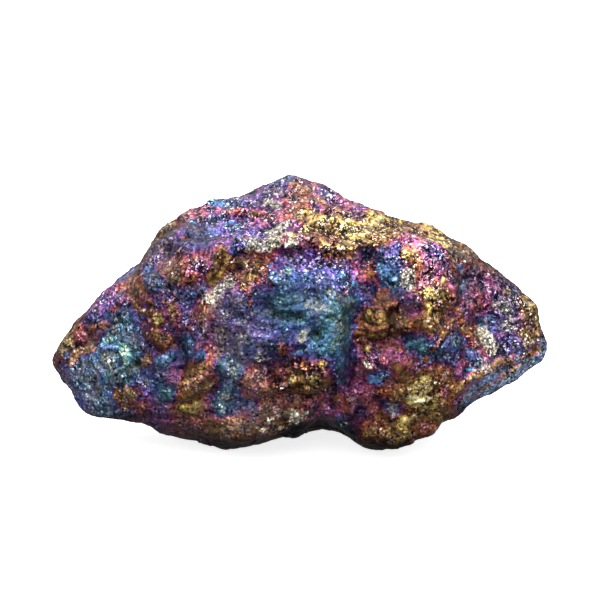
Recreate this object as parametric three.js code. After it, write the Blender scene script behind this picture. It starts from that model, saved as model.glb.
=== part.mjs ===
// Peacock ore: one broken lump of tarnished copper iron sulphide, resting on a small flat spot.
// Millimetres. X runs along the lump, the front looks towards -Y, +Z is up, and the origin is
// on the resting plane under the middle of the lump.
//
// The form is worked out in the lump's own "rim frame": x to the right, y up along the rim and
// z out of the front. The rim is the widest outline, and its plane leans back from upright.
// From the rim's centre the surface is one distance in each direction, so it is always closed:
// a pillow that swells out of the rim, cut by flat breaks, carved and built up by relief, and
// chipped all over.
import * as THREE from "three";
import { ImprovedNoise } from "three/addons/math/ImprovedNoise.js";
import { mergeVertices } from "three/addons/utils/BufferGeometryUtils.js";

// --- Driving dimensions -------------------------------------------------------------------
const RIM_LEAN = THREE.MathUtils.degToRad(15); // the rim's plane, back from upright
const RIM_CENTRE_HEIGHT = 24.3; // above the resting plane
const SIGHT_DISTANCE = 304; // relief is laid out as it looks from this far, square to the rim's plane
const FRONT_DEPTH = 22.5; // how far the pillow swells in front of the rim's plane
const BACK_DEPTH = 25; // and behind it
const PILLOW_ROUNDNESS = 2.5; // 2 is an ellipse, more is squarer
const BREAK_SHARPNESS = 40; // how crisp the edges between flat breaks are
const SURFACE_STEPS = 21; // divisions of each edge of the icosahedron: 9,680 triangles
const TIP_CROWDING = 1.4; // more triangles towards the far tips, which lie further out

// --- The rim: [right, up] of its corners, clockwise from the left tip ------------------------
const RIM = [
  [-46, -8.4],
  [-43.5, -5],
  [-41, -2.5],
  [-33.8, 5.4],
  [-29.8, 7.9],
  [-27.8, 10.4],
  [-24.6, 14],
  [-19.6, 18.1],
  [-10, 21.8],
  [-5, 24.1],
  [-2.4, 25.2],
  [3, 22.8],
  [8.2, 19.6],
  [15, 17.4],
  [20, 16],
  [25, 15],
  [28, 12.8],
  [36.7, 6],
  [41.8, 1.7],
  [43.8, -2.6],
  [45.6, -6.2],
  [43.5, -9],
  [34.5, -15.4],
  [31, -18.2],
  [26.2, -19.6],
  [21, -21.6],
  [18.4, -24],
  [14.5, -25.4],
  [9, -23.5],
  [4, -21.6],
  [-1, -23.3],
  [-7, -24.5],
  [-15.6, -25.2],
  [-24.5, -21.9],
  [-30, -19.8],
  [-37.5, -18.8],
  [-42.9, -14.7],
  [-45.2, -12],
];

// --- Flat breaks: the way each one faces (right, up, out of the front) and its distance ----------
const BREAKS = [
  { name: "roof, left of the peak", facing: [-0.34, 0.84, 0.42], distance: 22.2 },
  { name: "roof, middle", facing: [0.02, 0.8, 0.6], distance: 20.4 },
  { name: "roof, right of the peak", facing: [0.31, 0.87, 0.39], distance: 21.4 },
  { name: "centre face", facing: [0.02, 0.12, 0.99], distance: 20.5 },
  { name: "lower front", facing: [0.05, -0.55, 0.83], distance: 21.6 },
  { name: "left face", facing: [-0.55, 0.05, 0.83], distance: 26.2 },
  { name: "right face", facing: [0.56, 0.14, 0.81], distance: 27 },
  { name: "band under the right tip", facing: [0.47, -0.72, 0.5], distance: 29.6 },
  { name: "under the left front", facing: [-0.22, -0.83, 0.51], distance: 26.5 },
  { name: "under the left tip", facing: [-0.7, -0.48, 0.53], distance: 39 },
  { name: "band over the left tip", facing: [-0.6, 0.6, 0.53], distance: 26.5 },
  { name: "back, middle", facing: [0.14, 0.24, -0.96], distance: 21.5 },
  { name: "back, left", facing: [-0.45, 0.14, -0.88], distance: 24 },
  { name: "back, right", facing: [0.52, -0.04, -0.85], distance: 28 },
  { name: "back, under", facing: [-0.18, -0.56, -0.81], distance: 22.5 },
  { name: "back, under the right", facing: [0.45, -0.6, -0.66], distance: 27.5 },
  { name: "back of the roof, right", facing: [0.4, 0.74, -0.54], distance: 22.5 },
  { name: "back of the roof, left", facing: [-0.36, 0.62, -0.7], distance: 21 },
];

// --- Relief: a path of [right, up] on the front, how wide it reaches, and how high it stands ------
// One point is a knob, or a pit where the height is negative. More points are a ridge or a groove.
const FRONT_RELIEF = [
  {
    name: "shelf lip",
    path: [[-22, 11], [-16, 11], [-10, 11.6], [-3, 11.8], [2, 11.6], [7, 11], [13, 10.8]],
    reach: 2.8,
    height: 1.8,
  },
  { name: "recess under the lip", path: [[-7, 9.2], [-1, 9.4], [4, 9.8]], reach: 2.4, height: -2.4 },
  { name: "recess right of it", path: [[6.6, 9.2], [10, 8.8], [14.6, 9.4]], reach: 2.4, height: -2.2 },
  { name: "centre bulge", path: [[-5, 1], [4, -2]], reach: 13, height: 2.5 },
  {
    name: "upper crevice",
    path: [[10.8, 8], [11.2, 4.6], [10.2, 1.2], [11, -2.4]],
    reach: 2.5,
    height: -2.6,
  },
  {
    name: "lower crevice",
    path: [[10.8, -2], [10, -5.4], [10.5, -8], [9.2, -11], [7.4, -14], [6, -17], [4.8, -19.4]],
    reach: 3.3,
    height: -4.2,
  },
  {
    name: "cleft round the knob",
    path: [[15.4, 2.8], [17.6, 0], [17.6, -3.6], [15.6, -6.4], [11.4, -7]],
    reach: 2.3,
    height: -2.4,
  },
  { name: "bronze knob", path: [[13.5, -1.8], [14, -4.2]], reach: 3.8, height: 3 },
  { name: "small knob", path: [[16.6, 1.4]], reach: 1.8, height: 1.6 },
  { name: "blue pocket", path: [[15, 9.4], [16, 7], [16.6, 4.6]], reach: 3.6, height: -2.8 },
  { name: "magenta knob", path: [[12.6, 7]], reach: 3, height: 2.4 },
  { name: "granular shoulder", path: [[20, 12], [24, 9], [26, 6.5]], reach: 6, height: 2.2 },
  { name: "plum hollow", path: [[29, 8.5], [31, 6]], reach: 4.8, height: -1.9 },
  { name: "gold shoulder", path: [[24.5, 2.8]], reach: 4.4, height: 1.9 },
  { name: "right knob", path: [[32.5, 2.8]], reach: 3.2, height: 1.6 },
  { name: "right copper ridge", path: [[30.4, 1], [30.6, -3], [31.6, -6]], reach: 2.4, height: 1.4 },
  { name: "hollow by the ridge", path: [[33.4, -0.6], [34, -3]], reach: 2.6, height: -1.5 },
  { name: "right tip shoulder", path: [[38.4, -1]], reach: 5, height: 1.4 },
  {
    name: "right edge ridge",
    path: [[22, -20.6], [27, -16.6], [29.6, -12.8], [36, -9.4], [42.4, -6.4]],
    reach: 3,
    height: 1.5,
  },
  { name: "teal hollow", path: [[21, -7], [24.6, -10]], reach: 3, height: -1.8 },
  { name: "rose lobe", path: [[12.6, -8.8], [17.4, -8.6]], reach: 3.6, height: 2.2 },
  { name: "blue notch", path: [[14, -12]], reach: 2.2, height: -1.5 },
  { name: "lower right lobe", path: [[21.4, -12.6], [23, -16.4]], reach: 5.6, height: 2.5 },
  { name: "orange knob", path: [[16.4, -15.3]], reach: 2.8, height: 1.8 },
  { name: "pit under it", path: [[17, -18.7]], reach: 2.8, height: -2.2 },
  { name: "right foot", path: [[12.6, -21.2], [16.4, -21.8]], reach: 4.6, height: 2.2 },
  { name: "red lobe", path: [[8.8, -16.4]], reach: 4, height: 2 },
  { name: "lobe channel", path: [[11.6, -13.4], [13.2, -17], [11.4, -20]], reach: 2.2, height: -2 },
  { name: "copper ridge", path: [[-6.5, -12.8], [0, -11.4], [5.4, -10.8]], reach: 3.8, height: 2.3 },
  { name: "undercut of it", path: [[-4, -15.6], [2, -15.2], [5.4, -15.6]], reach: 2.5, height: -2.2 },
  { name: "left foot", path: [[-22, -20], [-15, -21.5], [-8, -20.8]], reach: 6, height: 1.8 },
  { name: "arch between the feet", path: [[2.6, -22.5], [5.6, -21.4]], reach: 5.5, height: -2.8 },
  { name: "left hollow", path: [[-22.8, -6.4], [-22.4, -11.6]], reach: 3.7, height: -3 },
  { name: "left blue knob", path: [[-25.2, -9]], reach: 2.8, height: 2.2 },
  { name: "upper blue knob", path: [[-20.8, -5.4], [-19.4, -8.4]], reach: 2.4, height: 1.7 },
  { name: "curved chip", path: [[-21, -14.4], [-18.4, -12.8], [-16.2, -10.8]], reach: 3.2, height: 1.9 },
  { name: "chip crack", path: [[-22.6, -16.6], [-18, -16.2], [-14.2, -12.4]], reach: 2, height: -2 },
  { name: "left lobe", path: [[-34.5, -9]], reach: 8, height: 2 },
  { name: "pit in the left lobe", path: [[-34.8, -9.2]], reach: 2.6, height: -1.8 },
  {
    name: "left tip groove",
    path: [[-43.6, -6.4], [-41, -6.8], [-38, -6], [-35.6, -4.2], [-33, -1], [-30.6, 1.6]],
    reach: 2.3,
    height: -2,
  },
  { name: "slanted lip", path: [[-18, 6.4], [-15, 8], [-11.4, 9.8]], reach: 3, height: 1.8 },
  { name: "groove under it", path: [[-17, 4.4], [-13, 6], [-10.6, 7.4]], reach: 2.2, height: -1.8 },
  { name: "upper left shoulder", path: [[-26.5, 4], [-21.4, 6.2]], reach: 4.8, height: 1.9 },
];

const BACK_RELIEF = [
  { name: "heel", path: [[-10, -19], [2, -20], [12, -18.5]], reach: 11, height: 3.6 },
  { name: "back crevice", path: [[-8, 14], [-4, 6], [-7, -2], [-3, -9]], reach: 3.4, height: -3 },
  { name: "back shelf", path: [[2, 8], [12, 6], [21, 8]], reach: 5, height: 2.2 },
  { name: "recess under the shelf", path: [[4, 3.4], [12, 1.6], [20, 3]], reach: 3.2, height: -2.8 },
  { name: "back left lobe", path: [[-24, 2], [-20, -5]], reach: 8, height: 2.5 },
  { name: "back left pit", path: [[-32, 0], [-29, -6]], reach: 4, height: -2.2 },
  { name: "back right lobe", path: [[24, -6], [30, -9]], reach: 7, height: 2.5 },
  { name: "back right groove", path: [[33, 3], [29, -2], [34, -6]], reach: 2.6, height: -2 },
  { name: "back knob", path: [[4, -7]], reach: 4.6, height: 2.5 },
  { name: "back upper pit", path: [[-15, 12]], reach: 4.4, height: -2.1 },
];

// --- Small lumps and pits, spread evenly over the whole surface --------------------------------
const SCATTER = { count: 170, leastReach: 2.4, mostReach: 4.6, height: 1.2, seed: 31 };
const LUMPS_AMONG_THEM = 0.6; // the rest are pits

// --- Chipping: chips are flat-bottomed steps, and the grain is rounded ---------------------------
const CHIPS = [
  { size: 10, step: 0.9, tilt: 0.2, seed: 11 },
  { size: 5.5, step: 0.3, tilt: 0.16, seed: 23 },
];
const GRAIN = { size: 4, height: 0.6 };
const CHIP_BORDER = 1.6; // how wide the slope between two chips is
const CHIP_SKEW = 2.5; // bends the chips' borders, so that they don't run straight
const WEAR = 0.4; // how far each point gives way to its neighbours, which blunts spikes

// --- Small tools -----------------------------------------------------------------------------
const noise = new ImprovedNoise();

// A repeatable number from 0 to 1 for a cell of a grid: an integer hash with large odd factors.
function hash(x, y, z, seed) {
  let mixed = Math.imul(x, 374761393) + Math.imul(y, 668265263);
  mixed += Math.imul(z, 2147483647) + Math.imul(seed, 974634777);
  mixed = Math.imul(mixed ^ (mixed >>> 13), 1274126177);
  mixed = Math.imul(mixed ^ (mixed >>> 16), 2246822519);
  return ((mixed ^ (mixed >>> 13)) >>> 0) / 2 ** 32;
}

// 1 in the middle, 0 at the edge and beyond, level at both.
function bump(share) {
  return share < 1 ? (1 - share * share) ** 2 : 0;
}

// --- The rim as a distance for each angle -----------------------------------------------------
const rimPoints = new THREE.CatmullRomCurve3(
  RIM.map(([right, up]) => new THREE.Vector3(right, up, 0)),
  true,
  "centripetal",
).getPoints(RIM.length * 12);

const rimByAngle = rimPoints
  .map((point) => ({ angle: Math.atan2(point.y, point.x), distance: point.length() }))
  .sort((a, b) => a.angle - b.angle);

function rimDistance(angle) {
  let low = 0;
  let high = rimByAngle.length - 1;
  while (high - low > 1) {
    const middle = (low + high) >> 1;
    if (rimByAngle[middle].angle <= angle) low = middle;
    else high = middle;
  }
  const { angle: a, distance: near } = rimByAngle[low];
  const { angle: b, distance: far } = rimByAngle[high];
  return THREE.MathUtils.mapLinear(THREE.MathUtils.clamp(angle, a, b), a, b + 1e-9, near, far);
}

// --- The broken pillow: the distance of its surface in a direction ------------------------------
const breaks = BREAKS.map(({ facing, distance }) => ({
  normal: new THREE.Vector3(...facing).normalize(),
  distance,
}));

function pillowDistance(direction) {
  const inRim = Math.hypot(direction.x, direction.y);
  const depth = direction.z > 0 ? FRONT_DEPTH : BACK_DEPTH;
  const sideways = inRim / rimDistance(Math.atan2(direction.y, direction.x));
  const outwards = Math.abs(direction.z) / depth;
  return (sideways ** PILLOW_ROUNDNESS + outwards ** PILLOW_ROUNDNESS) ** (-1 / PILLOW_ROUNDNESS);
}

function brokenDistance(direction) {
  let nearness = pillowDistance(direction) ** -BREAK_SHARPNESS;
  for (const { normal, distance } of breaks) {
    nearness += Math.max(0, direction.dot(normal) / distance) ** BREAK_SHARPNESS;
  }
  return nearness ** (-1 / BREAK_SHARPNESS);
}

// The point of the broken pillow seen at [right, up] from straight in front (side 1) or behind (-1).
// What stands out of the rim's plane is nearer to the eye, and so looks further from the middle.
function pointSeenAt([right, up], side) {
  let inside = 0;
  let outside = 2 * FRONT_DEPTH;
  const point = new THREE.Vector3();
  for (let halving = 0; halving < 24; halving++) {
    const out = (inside + outside) / 2;
    const nearness = 1 - out / SIGHT_DISTANCE;
    point.set(right * nearness, up * nearness, side * out);
    if (point.length() < brokenDistance(point.clone().normalize())) inside = out;
    else outside = out;
  }
  return point;
}

// --- Relief ----------------------------------------------------------------------------------
function placeRelief(list, side) {
  return list.map(({ path, reach, height }) => ({
    points: path.map((seen) => pointSeenAt(seen, side)),
    reach,
    height,
  }));
}

// Directions on a golden-angle spiral, so that the small lumps and pits lie evenly.
function scatterRelief({ count, leastReach, mostReach, height, seed }) {
  const goldenAngle = Math.PI * (3 - Math.sqrt(5));
  return Array.from({ length: count }, (_, i) => {
    const along = 1 - (2 * i + 1) / count;
    const across = Math.sqrt(1 - along * along);
    const direction = new THREE.Vector3(
      along * TIP_CROWDING,
      across * Math.sin(i * goldenAngle),
      across * Math.cos(i * goldenAngle),
    ).normalize();
    const sign = hash(i, 0, 0, seed) < LUMPS_AMONG_THEM ? 1 : -1;
    return {
      points: [direction.multiplyScalar(brokenDistance(direction))],
      reach: THREE.MathUtils.lerp(leastReach, mostReach, hash(i, 1, 0, seed)),
      height: sign * height * THREE.MathUtils.lerp(0.4, 1, hash(i, 2, 0, seed)),
    };
  });
}

const relief = [
  ...placeRelief(FRONT_RELIEF, 1),
  ...placeRelief(BACK_RELIEF, -1),
  ...scatterRelief(SCATTER),
];

function distanceToPath(point, path) {
  if (path.length === 1) return point.distanceTo(path[0]);
  const nearest = new THREE.Vector3();
  let least = Infinity;
  for (let i = 1; i < path.length; i++) {
    new THREE.Line3(path[i - 1], path[i]).closestPointToPoint(point, true, nearest);
    least = Math.min(least, point.distanceTo(nearest));
  }
  return least;
}

function reliefHeight(point) {
  let total = 0;
  for (const { points, reach, height } of relief) {
    total += height * bump(distanceToPath(point, points) / reach);
  }
  return total;
}

// --- Chipping --------------------------------------------------------------------------------
// Space is split into cells about jittered points; each cell has its own step and its own tilt.
function chipHeight(point, { size, step, tilt, seed }) {
  const cell = [point.x, point.y, point.z].map((value) => Math.floor(value / size));
  const centre = new THREE.Vector3();
  const slope = new THREE.Vector3();
  const first = { away: Infinity, height: 0 };
  const second = { away: Infinity, height: 0 };
  for (let n = 0; n < 27; n++) {
    const x = cell[0] + (n % 3) - 1;
    const y = cell[1] + (Math.floor(n / 3) % 3) - 1;
    const z = cell[2] + Math.floor(n / 9) - 1;
    centre.set(x + hash(x, y, z, seed), y + hash(x, y, z, seed + 1), z + hash(x, y, z, seed + 2));
    centre.multiplyScalar(size);
    const away = point.distanceTo(centre);
    if (away >= second.away) continue;
    slope.set(hash(x, y, z, seed + 3), hash(x, y, z, seed + 4), hash(x, y, z, seed + 5)).subScalar(0.5);
    const height = step * (hash(x, y, z, seed + 6) - 0.5) + 2 * tilt * slope.dot(centre.sub(point));
    if (away < first.away) {
      Object.assign(second, first);
      Object.assign(first, { away, height });
    } else {
      Object.assign(second, { away, height });
    }
  }
  const share = 0.5 + 0.5 * Math.min(1, (second.away - first.away) / CHIP_BORDER);
  return first.height * share + second.height * (1 - share);
}

function chippedHeight(point) {
  const skew = new THREE.Vector3(
    noise.noise(point.x / 4, point.y / 4, point.z / 4),
    noise.noise(point.y / 4 + 7, point.z / 4, point.x / 4),
    noise.noise(point.z / 4, point.x / 4 + 13, point.y / 4),
  ).multiplyScalar(CHIP_SKEW);
  const skewed = point.clone().add(skew);
  let total = GRAIN.height * noise.noise(point.x / GRAIN.size, point.y / GRAIN.size, point.z / GRAIN.size);
  for (const chip of CHIPS) total += chipHeight(skewed, chip);
  return total;
}

// --- The stone -------------------------------------------------------------------------------
// The resting plane, seen from the rim frame.
const DOWN = new THREE.Vector3(0, -Math.cos(RIM_LEAN), -Math.sin(RIM_LEAN));

function unitSphere() {
  const sphere = new THREE.IcosahedronGeometry(1, SURFACE_STEPS);
  sphere.deleteAttribute("normal");
  sphere.deleteAttribute("uv");
  return mergeVertices(sphere, 1e-5);
}

// Each value moved towards the mean of the values at the ends of its edges.
function worn(values, triangles) {
  const sums = new Float64Array(values.length);
  const counts = new Float64Array(values.length);
  for (let corner = 0; corner < triangles.length; corner++) {
    const next = corner % 3 === 2 ? corner - 2 : corner + 1;
    sums[triangles[corner]] += values[triangles[next]];
    counts[triangles[corner]] += 1;
  }
  return values.map((value, i) => THREE.MathUtils.lerp(value, sums[i] / counts[i], WEAR));
}

function stoneGeometry() {
  const geometry = unitSphere();
  const position = geometry.getAttribute("position");
  const directions = Array.from({ length: position.count }, (_, i) => {
    const direction = new THREE.Vector3().fromBufferAttribute(position, i);
    direction.x *= TIP_CROWDING;
    return direction.normalize();
  });
  const rough = directions.map((direction) => {
    const surface = direction.clone().multiplyScalar(brokenDistance(direction));
    return surface.length() + reliefHeight(surface) + chippedHeight(surface);
  });
  const distances = worn(rough, geometry.index.array);
  directions.forEach((direction, i) => {
    const steepness = direction.dot(DOWN);
    const rests = distances[i] * steepness >= RIM_CENTRE_HEIGHT;
    const point = direction.clone().multiplyScalar(rests ? RIM_CENTRE_HEIGHT / steepness : distances[i]);
    point.applyAxisAngle(new THREE.Vector3(1, 0, 0), Math.PI / 2 - RIM_LEAN);
    position.setXYZ(i, point.x, point.y, rests ? 0 : point.z + RIM_CENTRE_HEIGHT);
  });
  geometry.computeBoundingBox();
  const middle = geometry.boundingBox.getCenter(new THREE.Vector3());
  geometry.translate(-middle.x, -middle.y, 0);
  geometry.computeVertexNormals();
  return geometry;
}

const tarnishedSulphide = new THREE.MeshStandardMaterial({
  color: 0x5a4a72,
  roughness: 0.42,
  metalness: 0.8,
});

const stone = new THREE.Mesh(stoneGeometry(), tarnishedSulphide);
stone.name = "ore_stone";

const peacockOre = new THREE.Group();
peacockOre.add(stone);

export default peacockOre;
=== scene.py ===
import itertools
from collections import namedtuple

import bmesh
import bpy
import numpy as np
from bpy.props import FloatProperty, FloatVectorProperty, PointerProperty
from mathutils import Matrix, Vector
from mathutils.bvhtree import BVHTree


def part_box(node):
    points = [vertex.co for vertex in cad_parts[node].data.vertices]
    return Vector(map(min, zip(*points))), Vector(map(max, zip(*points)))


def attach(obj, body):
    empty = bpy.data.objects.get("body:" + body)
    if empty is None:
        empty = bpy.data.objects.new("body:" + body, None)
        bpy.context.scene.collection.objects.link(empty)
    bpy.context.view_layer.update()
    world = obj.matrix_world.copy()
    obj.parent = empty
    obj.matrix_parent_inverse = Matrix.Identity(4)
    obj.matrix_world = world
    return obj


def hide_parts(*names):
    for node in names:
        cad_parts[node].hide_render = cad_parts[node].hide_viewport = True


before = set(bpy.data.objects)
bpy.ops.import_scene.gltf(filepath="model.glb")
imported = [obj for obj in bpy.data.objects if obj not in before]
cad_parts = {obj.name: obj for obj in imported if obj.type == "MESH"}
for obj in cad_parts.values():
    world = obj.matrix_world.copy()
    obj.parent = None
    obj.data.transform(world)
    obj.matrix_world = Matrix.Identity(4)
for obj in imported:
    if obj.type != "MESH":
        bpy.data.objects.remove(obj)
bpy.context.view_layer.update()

bl_info = {
    "name": "Peacock Ore",
    "version": (1, 0, 0),
    "blender": (4, 5, 0),
    "location": "View3D > Sidebar > Peacock Ore",
    "description": "Builds a tarnished lump of peacock ore over its frame, on a pale studio floor",
    "category": "Object",
}

MM = 0.001
NODE = "ore_stone"

# --- Where the stone is looked at from
# Places on the front are given as [right, up] in millimetres on the sight plane: the plane through
# the stone's middle that squarely faces the front eye. A line from the eye through such a place
# meets the stone at the spot that is meant.
EYE_RISE = np.radians(15)  # above level
EYE_DISTANCE = 303.7 * MM
STONE_MIDDLE = Vector((0.2, 0.5, 24.3)) * MM
RIGHT = Vector((1, 0, 0))
UP = Vector((0, np.sin(EYE_RISE), np.cos(EYE_RISE)))
TOWARDS_EYE = Vector((0, -np.cos(EYE_RISE), np.sin(EYE_RISE)))
FRONT_EYE = STONE_MIDDLE + TOWARDS_EYE * EYE_DISTANCE
DEPTH_WEIGHT = 0.35  # how much a distance in depth counts, next to one on the sight plane

# --- Seeds of the noises and grains
SEED = {
    "grain": 5,
    "chips": 41,
    "lumps": 53,
    "domes": 67,
    "pits": 77,
    "drift": 83,
    "finer drift": 89,
    "drift patches": 91,
    "broad shade": 121,
    "fine shade": 131,
    "ragged edge": 141,
}
# How far borders stray, over how wide a swing, both in mm, and the seed: from coarse to fine.
STRAY = {
    "chips": [(1.3, 4, 3), (0.4, 1.5, 13)],
    "domes": [(0.2, 1, 23)],
    "zones": [(1.3, 5, 61), (0.8, 2, 71)],
    "features": [(0.55, 1.8, 151), (0.35, 0.8, 161)],
}

# --- Relief, in mm
FEATURE_RISE = 0.95  # the share of a feature's height that is built
RIDGE_SHARPNESS = 0.8  # 1 for straight sides, less for a blunter ridge
PLATE_EDGE = 0.35  # the share of its reach in which a plate falls off
RING_PLACE = 0.65  # where a ring is highest, in its reaches
RING_WIDTH = 0.35
SWIRL_STEEPNESS = 1.2  # how fast a swirl dies away at its reach
SWIRL_WAVES = 2 * np.pi * 4.5  # 4.5 rings from the middle of a swirl to its reach
DOME_SIZE = 1.25  # domed grains stand where the stone glitters
DOME_HEIGHT = 0.26
DOME_ROUNDNESS = 1.6
LUMP_STEEPNESS = 3
LUMP_CREASE = 0.7  # the depth of the creases between lumps, in the lumps' heights
PIT_SIZE = 2.6
PIT_DEPTH = 0.7
PIT_START = 0.5  # pits lie where their noise is above this
PIT_STEEPNESS = 2.2
CALMEST = 0.15  # the share of the small relief that is left where nothing glitters
RIM_RELIEF = 0.4  # the share of chips and small relief left where the surface turns from the front eye
RIM_RELIEF_END = 0.4  # how squarely it has to face the eye to have them all

# --- Light and dark: the stone's own, and painted light and shade
SWIRL_CONTRAST = 0.45
FEATURE_CONTRAST = 0.85  # the share of a feature's own brightness that shows
OUTLINE_SHADE = 0.36  # painted shade in the crease round a raised feature
OUTLINE_HEIGHT = 0.15  # in mm, from which a feature has such a crease
OUTLINE_PLACE = 1.25  # in the feature's reaches, as the next number
OUTLINE_WIDTH = 0.22
# Painted shade along the outline, where the surface turns from the front eye
RIM_SHADE = 0.5
RIM_END = 0.3  # how squarely the surface faces the eye where its rim ends
RIM_BRONZE = 0.6  # how far the film turns to bronze at the rim
FOOT_SHADE = (-24.8, -22.8)  # painted shade at the stone's foot: how far up, in mm, it starts and ends to lighten; the next number is the brightness it leaves at the foot
FOOT_SHADE_TONE = 0.4
# Painted shade on low faces that look down: the share of light it takes away
UNDERSIDE_SHADE = 0.65
UNDERSIDE_SHADE_SLOPE = (0.3, 0.7)  # how far a surface looks down, where that painted shade starts and is full
UNDERSIDE_SHADE_DROP = (13, 18)  # and how far down it lies, in mm
BROAD_SHADE = (0.1, 3)  # contrast, and width in mm
FINE_SHADE = (0.2, 1.4)
# What small lumps change, for each mm of their height: thinner film, and painted light on their tops with
# painted shade in their pits.
CREST_FILM = 0.22
CREST_LIGHT = 0.8

# --- Where a feature's finish ends, in its reaches, and how far inside that it is full
CRUST_FADE = (1.5, 0.95)
RAISED_FADE = (1.25, 0.65)
SUNKEN_FADE = (1.25, 0.95)
RAGGEDNESS = 0.25  # in mm
RAGGED_SIZE = 0.8

# --- How zones and stretches blend, and the drifts of film away from them
BACKGROUND = 0.02  # the weight of what lies outside every zone or stretch, next to 1 in its middle
ZONE_CRISPNESS = 1.8
DRIFT = (0.42, 9)  # contrast, and width in mm
FINER_DRIFT = (0.3, 4)
DRIFT_PATCH = 6.5  # width in mm

# --- The tarnish: the film's thickness for each finish, from 0 to 1, and its colour from 0 to 255
TARNISH = {
    "brass": (0.03, (236, 216, 142)),
    "gold": (0.11, (202, 166, 84)),
    "bronze": (0.22, (150, 108, 62)),
    "copper": (0.31, (176, 102, 62)),
    "rose": (0.40, (178, 90, 102)),
    "magenta": (0.48, (162, 78, 134)),
    "purple": (0.56, (106, 68, 134)),
    "violet": (0.64, (98, 88, 162)),
    "blue": (0.73, (66, 98, 156)),
    "steel": (0.80, (80, 124, 162)),
    "teal": (0.89, (76, 136, 150)),
    "green": (0.97, (130, 172, 150)),
}
FILM = {finish: thickness for finish, (thickness, _) in TARNISH.items()}

# --- Pale mineral crusts: 0 for cream to 1 for olive, and how far they cover the film
CRUST = {"cream": 0.0, "sage": 0.35, "grey": 0.65, "olive": 1.0}
CRUST_COVER = {"cream": 1.0, "sage": 0.8, "grey": 0.6, "olive": 0.5}

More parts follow.
